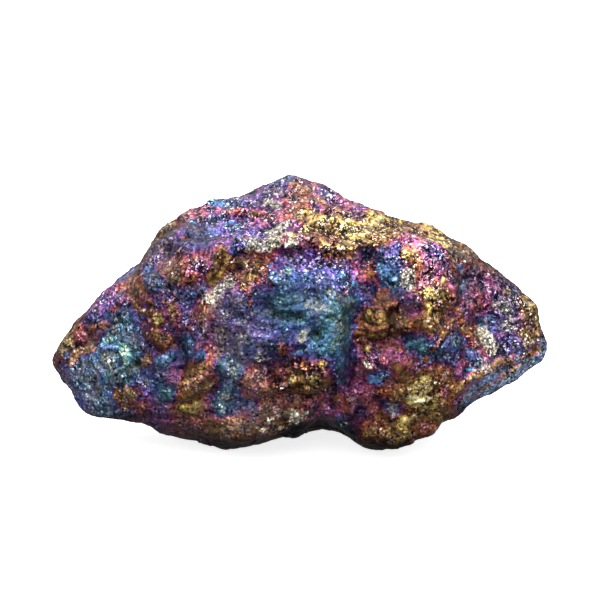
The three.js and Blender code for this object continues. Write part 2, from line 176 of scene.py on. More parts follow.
# --- Broad zones of tarnish on the front, as (right, up, reach in mm) by area and finish
ZONES = [
    # roof
    ("violet", [
        (-2.5, 24, 3), (-6, 19.5, 3), (-5.5, 22, 3), (-11, 15, 4), (-20.5, 13, 3), (5, 21, 2.5),
        (11, 18.5, 2),
    ]),
    ("rose", [(0.5, 21.5, 2.5), (-20, 17.5, 3)]),
    ("copper", [(0, 18, 3), (6, 12, 3)]),
    ("blue", [(-11, 18.5, 3.5), (-17, 14.5, 3.5), (-15.5, 19, 2.5)]),
    ("magenta", [(-9, 17, 3), (-4.5, 17.5, 2.5), (8, 19, 3.5), (1.5, 12.5, 2.5)]),
    ("gold", [(3, 16, 3), (8.5, 15.5, 4), (11, 13, 3), (15, 16.5, 3)]),
    ("bronze", [(18.5, 16, 3), (15, 14.5, 3)]),
    ("purple", [(-2.5, 15.5, 2)]),
    # upper left
    ("bronze", [(-29.5, 4.5, 3), (-23.5, 7, 2.5), (-13.5, 9, 2.5), (-8.5, 7, 3), (-17, 1, 2.5)]),
    ("violet", [(-25.5, 5, 3.5), (-29, 0, 3)]),
    ("rose", [(-20, 7.5, 3)]),
    ("copper", [(-20, 6, 2.2), (-16.5, -1, 2.5)]),
    ("purple", [(-16.5, 6.5, 3), (-10.5, 9, 2), (-25, -0.5, 4), (-25.5, 12, 3), (-27.5, 8.5, 3)]),
    ("blue", [(-19, 2.8, 3.2)]),
    ("gold", [(-25.8, -1, 1.8)]),
    # left tip
    ("steel", [(-33, 6.5, 2.5), (-40, -12, 3.5), (-36, -11, 3.5), (-34.5, -16, 3.5)]),
    ("bronze", [(-30.5, 3.5, 2.5), (-42.5, -3.5, 2.5), (-31.5, -15.5, 2.5)]),
    ("purple", [(-34, 2, 3), (-44, -10, 3)]),
    ("violet", [(-37.5, -1, 3)]),
    ("rose", [(-39, -4, 3)]),
    ("gold", [(-44, -6.5, 2.5)]),
    ("blue", [(-38.5, -16, 3), (-32, -3, 3)]),
    ("teal", [(-33, -7.5, 3.5), (-33, -2.4, 2.2), (-31.5, -11.5, 3)]),
    # lower left
    ("purple", [(-26.5, -8, 3), (-21.5, -3, 2.5), (-26.5, -18.5, 2.5), (-16.5, -4.5, 3)]),
    ("blue", [(-20, -6.2, 2), (-25.5, -14.5, 2.5), (-10, -6, 3)]),
    ("copper", [(-17, -7.5, 2.5), (-16, -17.5, 2.5), (-9, -12.5, 2.5), (-5, -17, 2.5)]),
    ("bronze", [
        (-19.5, -13, 3), (-19.5, -18, 2.5), (-16.5, -11.5, 2.5), (-12, -21, 3.5), (-6.5, -20, 3),
    ]),
    ("teal", [(-12.5, -10.5, 2.5), (-14, -17, 3)]),
    ("violet", [(-11.5, -15.5, 2.5), (-12, -2, 5), (-9, -18, 2)]),
    ("rose", [(-21, -20, 3)]),
    # centre
    ("violet", [(-2.5, 6.5, 3), (2, 9, 3), (-4.5, -6.5, 3), (8, 5.5, 3), (11.5, 4, 2.5)]),
    ("teal", [(-2.5, 1.5, 4.5), (7.5, 0, 4), (5.5, -4.5, 4)]),
    ("blue", [
        (2.5, 4.5, 4.5), (-6.5, 3, 3.5), (-1, -4, 4.5), (0.5, -1.5, 3), (0, -6.8, 2.5), (7, -10, 3),
    ]),
    ("copper", [(-3, -6.6, 1.2), (0, -11, 3.5), (-3.5, -13.5, 3)]),
    ("bronze", [(3, -13, 3), (-1, -19.5, 3)]),
    ("magenta", [(5, -9.5, 2.5)]),
    ("rose", [(-2, -17, 2.5), (4, -17, 2.5)]),
    ("purple", [(7.5, -14, 3), (3, -19, 3)]),
    # crevice and knobs
    ("purple", [(12, 9.5, 2.5)]),
    ("copper", [(12.8, 6.5, 2), (16.8, 0.8, 1.6)]),
    ("steel", [(15.8, 6.5, 2.5), (14.5, -12, 1.8)]),
    ("bronze", [(13.8, -2.5, 3), (19, -3.2, 2.2)]),
    ("gold", [(13.2, -1.5, 1.6)]),
    ("blue", [(15.5, 8.5, 4), (16.3, 6, 3)]),
    ("magenta", [(15, -8.5, 3)]),
    ("rose", [(11.5, -9.5, 2.5), (18.5, -8, 2.5)]),
    # right
    ("magenta", [(21, 12.5, 3), (23.5, 8.5, 3.5), (33.2, 0.5, 2)]),
    ("gold", [(20.5, 9.5, 2.2), (26.2, 12.6, 2.5), (24.5, 2.3, 3), (42.3, 1, 2)]),
    ("violet", [(25, 10, 2.2), (38.5, -1, 3.5)]),
    ("bronze", [
        (22, 15.5, 3), (30, 13, 3), (34, 8.5, 2.5), (29.5, 8.5, 3), (23.5, -2.4, 3), (31.5, -4, 2.5),
        (42, -3, 3),
    ]),
    ("purple", [(33, 6, 4), (35, 3, 3), (29, 5, 2.5), (20, 1.5, 3), (30, -1.5, 2.2)]),
    ("rose", [(32.5, 2.6, 2), (22.5, 7.5, 2.5)]),
    ("blue", [(34, -2.4, 2.2), (27, -7, 3.5)]),
    ("steel", [(44.5, -5, 2.5)]),
    ("teal", [(22, -6, 2.6)]),
    # lower right
    ("rose", [(9.5, -17.5, 4), (33, -9, 3)]),
    ("copper", [(14, -21.5, 3), (17.5, -14.5, 3), (22, -21, 3.5)]),
    ("teal", [(7.5, -21, 2.2)]),
    ("blue", [(17, -18, 2), (31, -16.6, 2)]),
    ("gold", [(22, -15, 3), (26, -17.5, 2.5), (19, -21.5, 2.5)]),
    ("brass", [(21.8, -16.3, 2.5)]),
    ("bronze", [(26.5, -13, 3.5), (16.5, -23, 4)]),
    ("purple", [(28, -16, 3)]),
    ("steel", [(36, -12.5, 5), (42, -8.5, 3)]),
    ("violet", [(11.5, -19.8, 2), (31, -13.5, 3), (38, -8, 4)]),
]

# --- The stone's own features on the front
# (form, places, reach in mm, height in mm, finish or None for its surroundings', brightness). The
# brightness is partly the stone's own and partly painted light and shade: dark sunken crevices and hollows,
# and lit spots and glints.
FEATURES = [
    # left tip
    ("ridge", [(-44.4, -5.6), (-42.4, -5.2)], 1.5, 0.3, "gold", 0.8),
    ("ridge", [(-41.6, -9.6), (-40.8, -8), (-39, -7.2), (-37.6, -6.9)], 0.8, 0.5, "bronze", 1),
    ("ridge", [(-43.6, -6.8), (-41, -6.9), (-39, -6.4)], 0.6, -0.6, None, 0.4),
    ("plate", [(-42, -7.8)], 1, 0.1, "blue", 0.7),
    ("lump", [(-44.6, -9)], 1.2, 0.2, "rose", 0.6),
    ("lump", [(-41.7, -10.5)], 0.6, 0.2, "teal", 1.4),
    ("lump", [(-38.6, -10.8)], 0.7, 0.2, "steel", 1.6),
    ("lump", [(-40.1, -4.6)], 1.3, 0.3, "rose", 1.2),
    ("ridge", [(-37.8, -3.2), (-35.8, -2.4)], 0.8, 0.3, "copper", 0.9),
    ("lump", [(-36.9, -1.2)], 0.6, 0.2, "violet", 1.8),
    ("lump", [(-32.6, 5.4), (-31.5, 6.3)], 0.8, 0.2, "steel", 1.5),
    ("lump", [(-33.4, 3.8)], 0.7, 0.2, "rose", 1.4),
    ("ridge", [(-30.8, 4), (-29.5, 5.5), (-28.7, 7)], 1.1, 0.5, "copper", 0.9),
    ("plate", [(-27.6, 7.2), (-26.4, 4.6)], 1.5, 0.1, "blue", 0.75),
    ("ridge", [(-33.9, 0.3), (-33, 1)], 0.5, 0.2, "rose", 1.2),
    ("lump", [(-33, -1.5)], 0.9, -0.4, None, 0.5),
    ("ridge", [(-35.8, -5.8), (-34.6, -4.9)], 0.5, 0.3, "teal", 1.9),
    ("lump", [(-39, -14.2)], 0.7, 0.2, "green", 1.2),
    ("lump", [(-40.4, -14.4)], 0.8, 0.2, "violet", 1.2),
    ("ridge", [(-38, -13.5), (-36.8, -15.5)], 0.9, -0.4, None, 0.5),
    # left lobe
    ("swirl", [(-34.5, -9.2)], 6, 0.15, None, 1),
    ("ridge", [(-36.6, -6.8), (-37.6, -9), (-37, -11.4)], 0.7, -0.3, "blue", 0.5),
    ("ring", [(-34.8, -9.3)], 3.4, 0.3, "steel", 1.5),
    ("ring", [(-34.8, -9.3)], 2.3, -0.3, "grey", 0.6),
    ("lump", [(-34.8, -9.2)], 1.3, 0.3, "olive", 1),
    ("lump", [(-34.9, -9.9)], 0.4, 0.1, "cream", 1.1),
    ("ridge", [(-33.2, -7.6), (-33, -9.4), (-33.8, -10.8)], 0.5, -0.3, "steel", 0.6),
    ("ridge", [(-36.4, -6.6), (-35.2, -5.3), (-33.8, -4.9)], 0.5, 0.3, "teal", 1.9),
    ("ridge", [(-32.6, -5.8), (-31.6, -7), (-31.5, -8.4)], 0.5, 0.3, "green", 2.2),
    ("ridge", [(-32.4, -7), (-31.9, -8.8), (-32.4, -10.4)], 0.4, 0.3, "green", 1.8),
    ("lump", [(-38.6, -10.8)], 0.7, 0.3, "blue", 2),
    ("ridge", [(-39.6, -12.4), (-38.8, -15.4), (-36.4, -17.6)], 0.6, 0.3, "steel", 1.5),
    ("ridge", [(-37.4, -8.2), (-37.6, -11), (-36.4, -13.4)], 0.4, 0.2, "steel", 1.5),
    ("ridge", [(-34.1, -11.4), (-33.4, -12.6)], 0.6, 0.2, "green", 1.3),
    ("lump", [(-32.9, -10.9)], 0.8, 0.2, "teal", 1.4),
    ("lump", [(-29.6, -12)], 1.2, -0.3, "blue", 0.6),
    ("lump", [(-31.4, -14.8)], 1.4, 0.4, "gold", 0.75),
    ("ridge", [(-33.4, -14.6), (-33, -16), (-32, -17.6)], 0.7, 0.3, "bronze", 1),
    ("lump", [(-29.4, -15.8)], 1.2, 0.1, "purple", 0.7),
    # knot and blue knob
    ("lump", [(-28, -9)], 1.3, 0.4, "bronze", 0.6),
    ("lump", [(-24.8, -8.9)], 1.7, 0.7, "steel", 1.5),
    ("lump", [(-24.7, -7.9)], 0.7, 0.1, "violet", 1.2),
    ("ridge", [(-22.6, -6.6), (-22.2, -8.6)], 1.7, -0.6, None, 0.3),
    ("lump", [(-21.9, -9.2)], 0.4, 0.2, "gold", 1.8),
    ("ridge", [(-20.8, -5), (-20.4, -6.6), (-20.2, -7.6)], 0.8, 0.3, "steel", 1.4),
    ("lump", [(-18.7, -8.3)], 1.3, 0.4, "blue", 0.7),
    ("plate", [(-24, -12)], 1.6, 0.2, "purple", 0.75),
    ("lump", [(-27.2, -12.6)], 0.5, 0.2, "steel", 1.7),
    ("lump", [(-24.6, -15)], 1.8, -0.2, "teal", 0.5),
    ("lump", [(-26.6, -18.2)], 0.7, 0.2, "magenta", 1.7),
    # arcs on the left
    ("swirl", [(-25.9, -0.9)], 4.6, 0.15, None, 1),
    ("lump", [(-33, 2), (-37.3, -1.3)], 0.8, 0.3, "violet", 1.7),
    ("lump", [(-20.1, -5.8)], 0.8, 0.4, "blue", 2),
    ("lump", [(-24.4, -8)], 0.7, 0.4, "blue", 2.4),
    ("ridge", [(-30, 1.2), (-29, 0.4), (-28.4, -0.8)], 0.6, 0.4, "bronze", 0.9),
    ("ridge", [(-28.2, 2), (-27.2, 0.8), (-27.4, -0.6)], 0.5, 0.4, "bronze", 0.6),
    ("lump", [(-28.6, 0)], 0.4, 0.2, "cream", 1.2),
    ("ring", [(-26, -1.4)], 1.2, 0.4, "gold", 0.7),
    ("ridge", [(-28.7, -2.9), (-28, -2.4)], 0.4, 0.3, "rose", 1.8),
    ("lump", [(-23.8, -0.3)], 0.6, 0.2, "magenta", 1.3),
    ("ridge", [(-28, -4.6), (-26.6, -5.6), (-24.4, -6.4)], 0.7, 0.3, "copper", 0.5),
    ("ridge", [(-23, 1.4), (-22, -0.6), (-22.2, -2.8)], 0.7, 0.3, "rose", 0.8),
    ("ridge", [(-24.6, 1.6), (-23.4, 0.6), (-23.4, -1.4)], 0.5, 0.3, "bronze", 0.9),
    ("lump", [(-24, -2.5)], 0.5, 0.2, "violet", 1.6),
    ("ridge", [(-26, -4.2), (-25.4, -5.4)], 0.9, 0.3, "bronze", 0.8),
    ("ridge", [(-24.6, -4.4), (-23.6, -6)], 0.8, 0.3, "copper", 0.7),
    ("lump", [(-20.2, -3.3)], 0.5, 0.2, "rose", 1.3),
    # rose cluster and pale crust
    ("lump", [(-20.2, 6.2)], 1, 0.5, "rose", 1.8),
    ("lump", [(-21.4, 5.2)], 0.9, 0.4, "copper", 1.4),
    ("lump", [(-19.2, 6.3)], 0.8, 0.4, "copper", 1.4),
    ("lump", [(-22.8, 2.5)], 0.7, 0.2, "rose", 1.3),
    ("lump", [(-24, 4)], 1, -0.7, None, 0.4),
    ("lump", [(-23.5, 5.8)], 0.9, 0.3, "gold", 0.9),
    ("lump", [(-20.6, 2.5)], 0.8, 0.3, "blue", 1.4),
    ("lump", [(-19.2, 2.4), (-16.9, 2)], 0.5, 0.2, "steel", 1.5),
    ("lump", [(-18, 3.7)], 0.9, 0.2, "blue", 1.1),
    ("plate", [(-16.4, 2.5), (-14.8, 3.7), (-13.2, 5)], 1.4, 0.3, "sage", 1.15),
    ("ridge", [(-14.3, 10.2), (-15.4, 8), (-16.4, 6)], 0.6, 0.5, "bronze", 1),
    ("ridge", [(-12, 10), (-13.8, 7.8), (-15.6, 5.3)], 0.6, 0.5, "bronze", 1),
    ("ridge", [(-13, 10), (-14.6, 7.6), (-15.8, 5.8)], 0.5, -0.4, None, 0.45),
    ("lump", [(-10.2, 8.7)], 0.9, 0.4, "gold", 1.3),
    ("lump", [(-8.8, 6.4), (-10, 5.1)], 0.7, 0.4, "bronze", 1.4),
    ("lump", [(-7.1, 8)], 0.8, 0.3, "copper", 1.2),
    ("lump", [(-5.2, 8.2)], 0.7, 0.2, "steel", 1.6),
    ("lump", [(-5.3, 6.6), (-4.4, 5.2)], 0.8, 0.2, "steel", 1.2),
    ("lump", [(-9, 1.4)], 0.8, 0.2, "copper", 1),
    ("lump", [(-9.2, 2.9)], 0.7, 0.2, "rose", 0.9),
    # ledge
    ("plate", [(-10.6, 12.2), (-8.3, 11.8)], 1.2, 0.6, "cream", 1.4),
    ("plate", [(-7, 11.6), (-4.6, 12.8)], 1.3, 0.5, "cream", 1.35),
    ("plate", [(-5.4, 14), (-2.8, 14.8)], 1.1, 0.4, "cream", 1.15),
    ("lump", [(-4.2, 13.6), (-3, 13.9)], 0.4, -0.5, None, 0.35),
    ("ring", [(-1.9, 12.9)], 1.8, 0.6, "cream", 1.4),
    ("lump", [(-1.5, 13.1)], 0.7, 0.1, "gold", 0.9),
    ("lump", [(-2.9, 12.5)], 0.5, -0.6, None, 0.3),
    ("lump", [(-9.7, 12.5)], 0.4, -0.5, None, 0.4),
    ("lump", [(-6.8, 12.6)], 0.4, -0.5, None, 0.4),
    ("lump", [(-8.4, 11.8)], 0.4, -0.5, None, 0.4),
    ("ridge", [(-9.8, 10.3), (-7.6, 9.9), (-5.4, 9.6)], 0.6, -0.5, "rose", 0.7),
    ("ridge", [(-4, 10.7), (-2, 10.6), (0, 11)], 0.9, -0.6, "purple", 0.5),
    ("ridge", [(0.2, 12), (2.6, 12.4)], 0.9, -0.3, "magenta", 0.7),
    ("ridge", [(2.2, 13.2), (4.6, 13.4)], 0.9, 0.3, "copper", 1.2),
    # roof on the left
    ("ridge", [(-18, 18.4), (-15.5, 18.4), (-13, 18)], 0.8, 0.4, "magenta", 1),
    ("ridge", [(-12.4, 17.8), (-10, 17.9), (-7, 17.4)], 0.9, 0.4, "rose", 1.3),
    ("ridge", [(-16, 16.9), (-13.5, 16.8), (-11, 16.6)], 0.5, -0.4, "purple", 0.8),
    ("ridge", [(-16.2, 12.2), (-14.6, 12.9), (-13, 13.6)], 0.7, 0.3, "violet", 1.5),
    ("plate", [(-12.4, 11), (-11, 11.7)], 1, 0.4, "violet", 1.4),
    ("lump", [(-12, 16.2), (-11, 14.8)], 0.7, 0.2, "steel", 1.8),
    ("lump", [(-17.1, 14.4)], 0.5, 0.2, "steel", 1.7),
    ("lump", [(-19.5, 16)], 0.6, 0.2, "steel", 1.4),
    ("ridge", [(-28.2, 9.6), (-26.2, 12.8), (-23.4, 15.6)], 0.9, 0.4, "bronze", 0.8),
    ("ridge", [(-17.4, 19.2), (-14.6, 19.6)], 0.8, 0.1, "steel", 1.2),
    ("ridge", [(-17.9, 15.8), (-17.6, 14), (-18.3, 12.8)], 0.6, -0.5, None, 0.5),
    ("lump", [(-21.5, 13.1)], 0.8, 0.2, "bronze", 0.8),
    ("lump", [(-11.4, 15), (-13.4, 15)], 0.8, 0.2, "steel", 1.2),
    ("lump", [(-21.4, 17)], 0.8, 0.2, "rose", 1.3),
    # peak
    ("lump", [(-4.9, 22)], 0.5, 0.2, "green", 1.9),
    ("lump", [(-3.3, 23.4)], 0.8, 0.2, "violet", 1.6),
    ("ridge", [(-4, 24), (-2.4, 24.4), (-0.8, 24)], 0.9, 0.1, "steel", 1.4),
    ("ridge", [(-6, 19.3), (-4, 19.4)], 0.7, 0.3, "sage", 1),
    ("ridge", [(-8.6, 17.2), (-5.4, 17)], 0.7, 0.3, "copper", 0.7),
    ("lump", [(1, 21.8), (-0.6, 22.6)], 1.2, 0.3, "copper", 1.3),
    ("lump", [(3.6, 21.3)], 1.2, 0.1, "violet", 1.1),
    ("lump", [(5.4, 20.9)], 0.5, 0.2, "cream", 1.2),
    ("ridge", [(7.4, 19.8), (8.8, 18.9)], 1, 0.3, "magenta", 1.4),
    ("lump", [(12, 18.7)], 0.8, 0.2, "steel", 1.1),
    # gold strata
    ("ridge", [(-1, 17), (1, 17.3), (3, 17.2)], 0.5, 0.4, "bronze", 0.9),
    ("ridge", [(0, 17.9), (2, 18.1)], 0.5, 0.3, "gold", 1.3),
    ("ridge", [(1.6, 15.6), (4, 14.6), (6, 14.4)], 0.5, -0.8, None, 0.25),
    ("ridge", [(6.2, 15), (7.4, 14.3), (8.6, 14.1)], 0.5, -0.7, None, 0.3),
    ("plate", [(3, 15.8), (5.6, 15.3)], 0.8, 0.4, "gold", 0.8),
    ("plate", [(-3.4, 16), (-2.4, 16.1)], 0.7, 0.3, "cream", 1.1),
    ("ridge", [(-1.8, 15), (-0.2, 14.6)], 0.8, -0.5, "purple", 0.4),
    ("lump", [(1, 14.8)], 1.2, 0.3, "gold", 1.5),
    ("ring", [(8.8, 15.7)], 1.2, 0.3, "gold", 1),
    ("ridge", [(7.4, 14.8), (8.8, 14.6)], 0.5, 0.3, "brass", 1.5),
    ("ridge", [
        (4.2, 12), (5, 11.3), (6, 10.9), (7.5, 11.4), (9.5, 11.1), (10.5, 11.8), (13.6, 12),
    ], 0.6, 0.6, "gold", 1.7),
    ("ridge", [(5, 10.2), (8, 10.3), (9.4, 10)], 0.8, 0.1, "copper", 0.9),
    ("ridge", [(7.6, 12.8), (9.4, 12.6)], 0.6, -0.4, None, 0.5),
    # centre bulge
    ("lump", [(-0.3, 8.2), (1.9, 8.2)], 0.7, 0.2, "violet", 1.5),
    ("lump", [(-3.4, 6.6)], 0.7, 0.1, "sage", 0.9),
    ("lump", [(-1.8, 7.3)], 0.8, 0.1, "green", 1.2),
    ("lump", [(7.8, 6), (9.6, 4.8)], 0.8, 0.3, "steel", 1.5),
    ("lump", [(11.6, 4.2)], 0.7, 0.3, "blue", 1.3),
    ("plate", [(5.4, 3.6), (7, 2.6)], 1.1, 0.1, "olive", 1.1),
    ("plate", [(2.4, 1), (4.8, 0.9)], 1.7, 0.1, "grey", 1.3),
    ("lump", [(8.4, 1.9)], 1.3, 0.3, "olive", 0.8),
    ("lump", [(8.5, 3.5)], 0.5, 0.2, "rose", 1.6),
    ("plate", [(7.6, -4)], 1.8, 0.1, "olive", 0.9),
    ("lump", [(9.3, -4.7), (10.3, -3)], 0.5, 0.2, "steel", 1.4),
    ("ring", [(0.5, -4.7)], 0.9, 0.3, "cream", 1.1),
    ("lump", [(-3.2, -6.8)], 1.1, 0.4, "copper", 0.95),
    ("lump", [(-5.3, -6.3)], 0.6, 0.2, "steel", 1.4),
    ("lump", [(2, -6.3)], 0.8, 0.1, "steel", 1.3),
    # matte rings
    ("lump", [(-12.2, -10.9)], 2, 0, "steel", 1.2),
    ("ridge", [(-12.7, -13.4), (-13.4, -14.4)], 1, 0.1, "steel", 1.3),
    ("ring", [(-12.2, -10.9)], 1.5, 0.3, "olive", 1.4),
    ("lump", [(-10.9, -12.2)], 0.4, 0.2, "steel", 1.8),
    ("lump", [(-11.5, -14.4)], 0.6, 0.2, "steel", 1.6),
    ("ring", [(-7.5, -8.3)], 1.2, 0.3, "grey", 1.1),
    ("plate", [(-13.6, -15.6), (-14.4, -17), (-14.3, -18.4)], 1.6, 0.1, "steel", 1),
    ("plate", [(-13.6, -15.6), (-14.4, -17), (-14.3, -18.4)], 0.9, 0.2, "olive", 1.2),
    ("lump", [(-7.7, -11.8)], 1.1, 0.2, "grey", 0.8),
    ("lump", [(-8.4, -14.8)], 0.6, 0.2, "magenta", 1.7),
    ("ridge", [(-12, -15), (-10, -15.4), (-8, -15)], 0.4, -0.4, None, 0.5),
    ("lump", [(-9.2, -12.4), (-9.3, -13.6)], 1, 0.4, "copper", 0.8),
    ("lump", [(-13.7, -4.3), (-11.4, -5)], 0.8, 0.1, "olive", 1),
    ("lump", [(-9, -0.6), (-13.6, -0.8)], 0.6, 0.1, "olive", 1),
    # chip
    ("plate", [(-21.3, -14.6), (-18.6, -13.4), (-16.8, -12.4)], 1.5, 0.5, "bronze", 1.25),
    ("lump", [(-17.7, -13)], 0.6, 0.1, "brass", 1.1),
    ("ridge", [(-18, -16), (-16, -14.9), (-14.8, -13.4)], 0.7, -0.8, None, 0.3),
    ("ridge", [(-21.8, -11), (-22.3, -13)], 1.3, -0.6, None, 0.3),
    ("ridge", [(-21.5, -18), (-19, -18)], 1.1, 0.4, "gold", 1.2),
    ("ridge", [(-18, -18.8), (-16.6, -20.6)], 0.9, 0.4, "copper", 1),
    ("ridge", [(-17.6, -2.5), (-18, -4.5), (-18.7, -6)], 0.6, 0.3, "olive", 0.9),
    ("ridge", [(-17, 0), (-17.9, -1.3)], 0.8, 0.3, "copper", 1.4),
    ("lump", [(-15.3, -4.2)], 0.5, 0.2, "copper", 1.7),
    ("lump", [(-15.3, -2.4)], 0.6, 0.2, "violet", 1.4),
    # copper lumps
    ("lump", [(-4.8, -13)], 1, 0.5, "copper", 1.3),
    ("lump", [(-3.4, -11.4)], 1, 0.5, "rose", 1.2),
    ("lump", [(-3.3, -13.9)], 0.9, 0.4, "copper", 1.2),
    ("lump", [(-1.6, -12.5)], 0.9, 0.5, "gold", 1.3),
    ("lump", [(0, -10.3)], 1.1, 0.5, "copper", 1.2),
    ("lump", [(2.8, -12.5)], 1.1, 0.5, "gold", 1.1),
    ("lump", [(1.2, -14.6)], 0.9, 0.4, "copper", 0.9),
    ("lump", [(4.5, -9.7)], 0.9, 0.4, "gold", 0.9),
    ("ridge", [(-3, -14.8), (0, -13.9), (0.6, -15.6), (3.6, -15)], 0.6, -0.9, None, 0.2),
    ("ridge", [(0.4, -11.6), (1.1, -13.4), (3, -14.4)], 0.5, -0.7, None, 0.25),
    ("ridge", [(-5.2, -11.8), (-4.2, -12.4), (-2.6, -11.9)], 0.5, -0.5, None, 0.4),
    ("ridge", [(9.6, -7.5), (9.5, -10.5), (8.8, -14)], 0.8, -0.3, None, 0.45),
    ("ridge", [(6, -13.6), (5.8, -16.5)], 0.8, -0.6, None, 0.25),
    ("ridge", [(7.2, -8.4), (7.6, -10.5), (6.8, -13)], 0.9, 0.4, "steel", 1),
    # lower middle
    # painted shadow: a near-black band along the bottom edge, under the stone's middle
    ("plate", [
        (-4.5, -23), (-1, -22.2), (1.5, -21.2), (4.5, -21.2), (7, -22.2), (9.5, -23),
    ], 1.4, -0.2, "steel", -0.1),
    ("lump", [(-0.8, -19.2)], 1.6, 0.4, "sage", 0.75),
    ("lump", [(-5.2, -19.8), (-6.8, -21.2), (-3.4, -21.2)], 0.6, 0.3, "sage", 1.2),
    ("lump", [(-3.8, -18.5)], 0.8, 0.3, "grey", 1.5),
    ("lump", [(1.2, -18.8)], 0.5, 0.3, "cream", 0.9),
    ("lump", [(6.7, -16)], 1.3, 0.5, "copper", 0.8),
    ("lump", [(9.1, -16.7)], 0.9, 0.4, "copper", 1),
    ("lump", [(9.2, -14.2)], 0.7, 0.3, "magenta", 0.9),
    ("lump", [(6.9, -21)], 0.8, 0.2, "steel", 0.9),
    ("lump", [(8, -21)], 0.5, 0.2, "cream", 1),
    ("ridge", [(12.6, -22.4), (14.8, -22.6)], 1.2, 0.3, "bronze", 1.3),
    ("ridge", [(18.6, -20), (19.4, -22.6)], 1.3, 0.4, "gold", 1.3),
    # arc and bronze knob
    ("ridge", [(10.4, 10), (9.7, 8.4), (10.2, 6.8), (11.4, 5.2)], 0.7, 0.6, "magenta", 1.5),
    ("lump", [(12.3, 8), (12.6, 6.4)], 1.2, 0.4, "copper", 0.9),
    ("lump", [(14, 6.7)], 0.5, 0.3, "rose", 1.5),
    ("lump", [(13.8, 4.8)], 0.7, 0.3, "rose", 1.2),
    ("ridge", [(12, 3.6), (12.6, 1.2)], 1.1, -0.5, "purple", 0.4),
    ("ridge", [(14.6, 3.2), (16, 3.4)], 0.8, 0.2, "copper", 0.45),
    ("lump", [(16.6, 0.9)], 0.8, 0.4, "copper", 1.25),
    ("lump", [(13.8, -3)], 3.2, 0.35, "bronze", 0.85),
    ("ridge", [(12.2, -1.2), (13.2, -1.6)], 0.7, 0.2, "gold", 0.6),
    ("ridge", [(11.8, 0.2), (13, -0.5), (14.6, -0.2)], 0.35, -0.4, None, 0.45),
    ("lump", [(14.4, 2)], 1.5, 0.1, "copper", 0.45),
    ("ridge", [(11.2, -2), (13.2, -2.9), (15.8, -2.2)], 0.4, -0.5, None, 0.4),
    ("ridge", [(11.4, -4), (13.6, -4.7), (15.7, -3.9)], 0.4, -0.5, None, 0.4),
    ("ridge", [(17, 0), (17.1, -2.4), (16.6, -4.8)], 0.8, -0.7, None, 0.15),
    ("ridge", [(10.6, -5.4), (13.2, -6), (15.6, -5.4)], 0.6, -0.6, None, 0.25),
    ("ridge", [(11.4, -3), (13.6, -3.8), (15.9, -3.1)], 0.5, 0.3, "copper", 1),
    ("lump", [(14.7, 0.6)], 0.5, 0.2, "rose", 1.5),
    ("lump", [(12.4, -6.8)], 0.8, 0.3, "gold", 1.2),
    ("ridge", [(18, -1), (19.4, -3)], 1, 0.3, "bronze", 0.9),
    # blue pocket
    ("lump", [(14.9, 8.6)], 1.2, -0.3, "teal", 0.9),
    ("ridge", [(15.2, 8), (16, 6.4), (17.2, 4.2)], 1.2, 0.2, "steel", 1.1),
    ("lump", [(16.8, 5.6)], 0.7, 0.2, "steel", 1.6),
    ("lump", [(15, 11.4)], 0.6, 0.2, "steel", 1.4),
    ("plate", [(19.2, 6.4), (20, 4.8)], 1.2, 0.5, "cream", 1.15),
    ("lump", [(20.3, 4.4)], 0.7, 0.4, "cream", 1.8),
    ("lump", [(18.6, 5.2)], 0.7, 0.3, "sage", 1.2),
    ("lump", [(19.6, 5.9)], 0.4, -0.4, None, 0.4),
    # rose lobe
    ("lump", [(16.5, -7.9)], 1, 0.5, "magenta", 1.3),
    ("lump", [(18.5, -8.2)], 0.9, 0.5, "magenta", 1.3),
    ("lump", [(15, -9.6)], 0.9, 0.5, "rose", 1.4),
    ("lump", [(14.1, -10.5)], 0.6, 0.4, "rose", 1.7),
    ("lump", [(13.7, -8)], 0.9, 0.5, "magenta", 1.2),
    ("lump", [(10.4, -10.2)], 0.7, 0.3, "magenta", 1.2),
    ("ridge", [(12, -9.2), (12.7, -10.2)], 0.4, 0.3, "cream", 1.5),
    ("ridge", [(13.6, -12.3), (15.3, -11.9)], 1.2, 0.6, "steel", 3.4),
    ("ridge", [(17.4, -10.6), (19.6, -11.4)], 0.8, 0.2, "bronze", 0.9),
    ("lump", [(15.1, -15.3)], 1.1, 0.6, "copper", 1.6),
    ("lump", [(17, -15.8)], 1, 0.5, "bronze", 1.4),
    ("lump", [(18.8, -14.6)], 0.9, 0.5, "bronze", 1.3),
    ("lump", [(16.6, -17.9)], 1.4, -0.5, "grey", 0.6),
    ("lump", [(17.9, -17.1)], 0.5, 0.3, "steel", 1.3),
    ("ridge", [(14.3, -16), (14.4, -19), (16.6, -20), (17.3, -22)], 0.7, -0.7, None, 0.2),
    ("ridge", [(16, -13), (18, -13)], 0.7, -0.4, "magenta", 0.5),
    # right knobs
    ("ridge", [
        (22, 15.6), (24, 14.9), (26, 13.6), (28, 12.2), (30, 11.2), (32, 10),
    ], 0.8, 0.3, "bronze", 1),
    ("lump", [(25, 12.2), (26.7, 11.9)], 0.9, 0.3, "gold", 1.3),
    ("lump", [(19.2, 9.9)], 1, 0.3, "gold", 1.3),
    ("lump", [(26.1, 5.5)], 0.8, 0.4, "brass", 1.4),
    ("lump", [(23, 3), (24.5, 3.3)], 1, 0.4, "gold", 1.4),
    ("lump", [(25.2, 0.9)], 0.9, 0.3, "copper", 1.3),
    ("lump", [(32.6, 3.1)], 0.8, 0.4, "rose", 1.7),
    ("lump", [(32.8, 0.9)], 1, 0.3, "rose", 1),
    ("lump", [(37.7, 0.2), (38.4, -1.4), (37.8, -2.8), (39, -3.6)], 0.7, 0.4, "sage", 1.6),
    ("lump", [(38.2, 3.4)], 0.7, 0.3, "gold", 1.3),
    ("lump", [(36.4, 1)], 1.6, 0.1, "grey", 1.1),
    ("ridge", [(33, -4.2), (34.8, -6.9)], 1.4, 0.5, "cream", 1.4),
    ("lump", [(33.6, -7.8)], 0.6, 0.2, "bronze", 0.8),
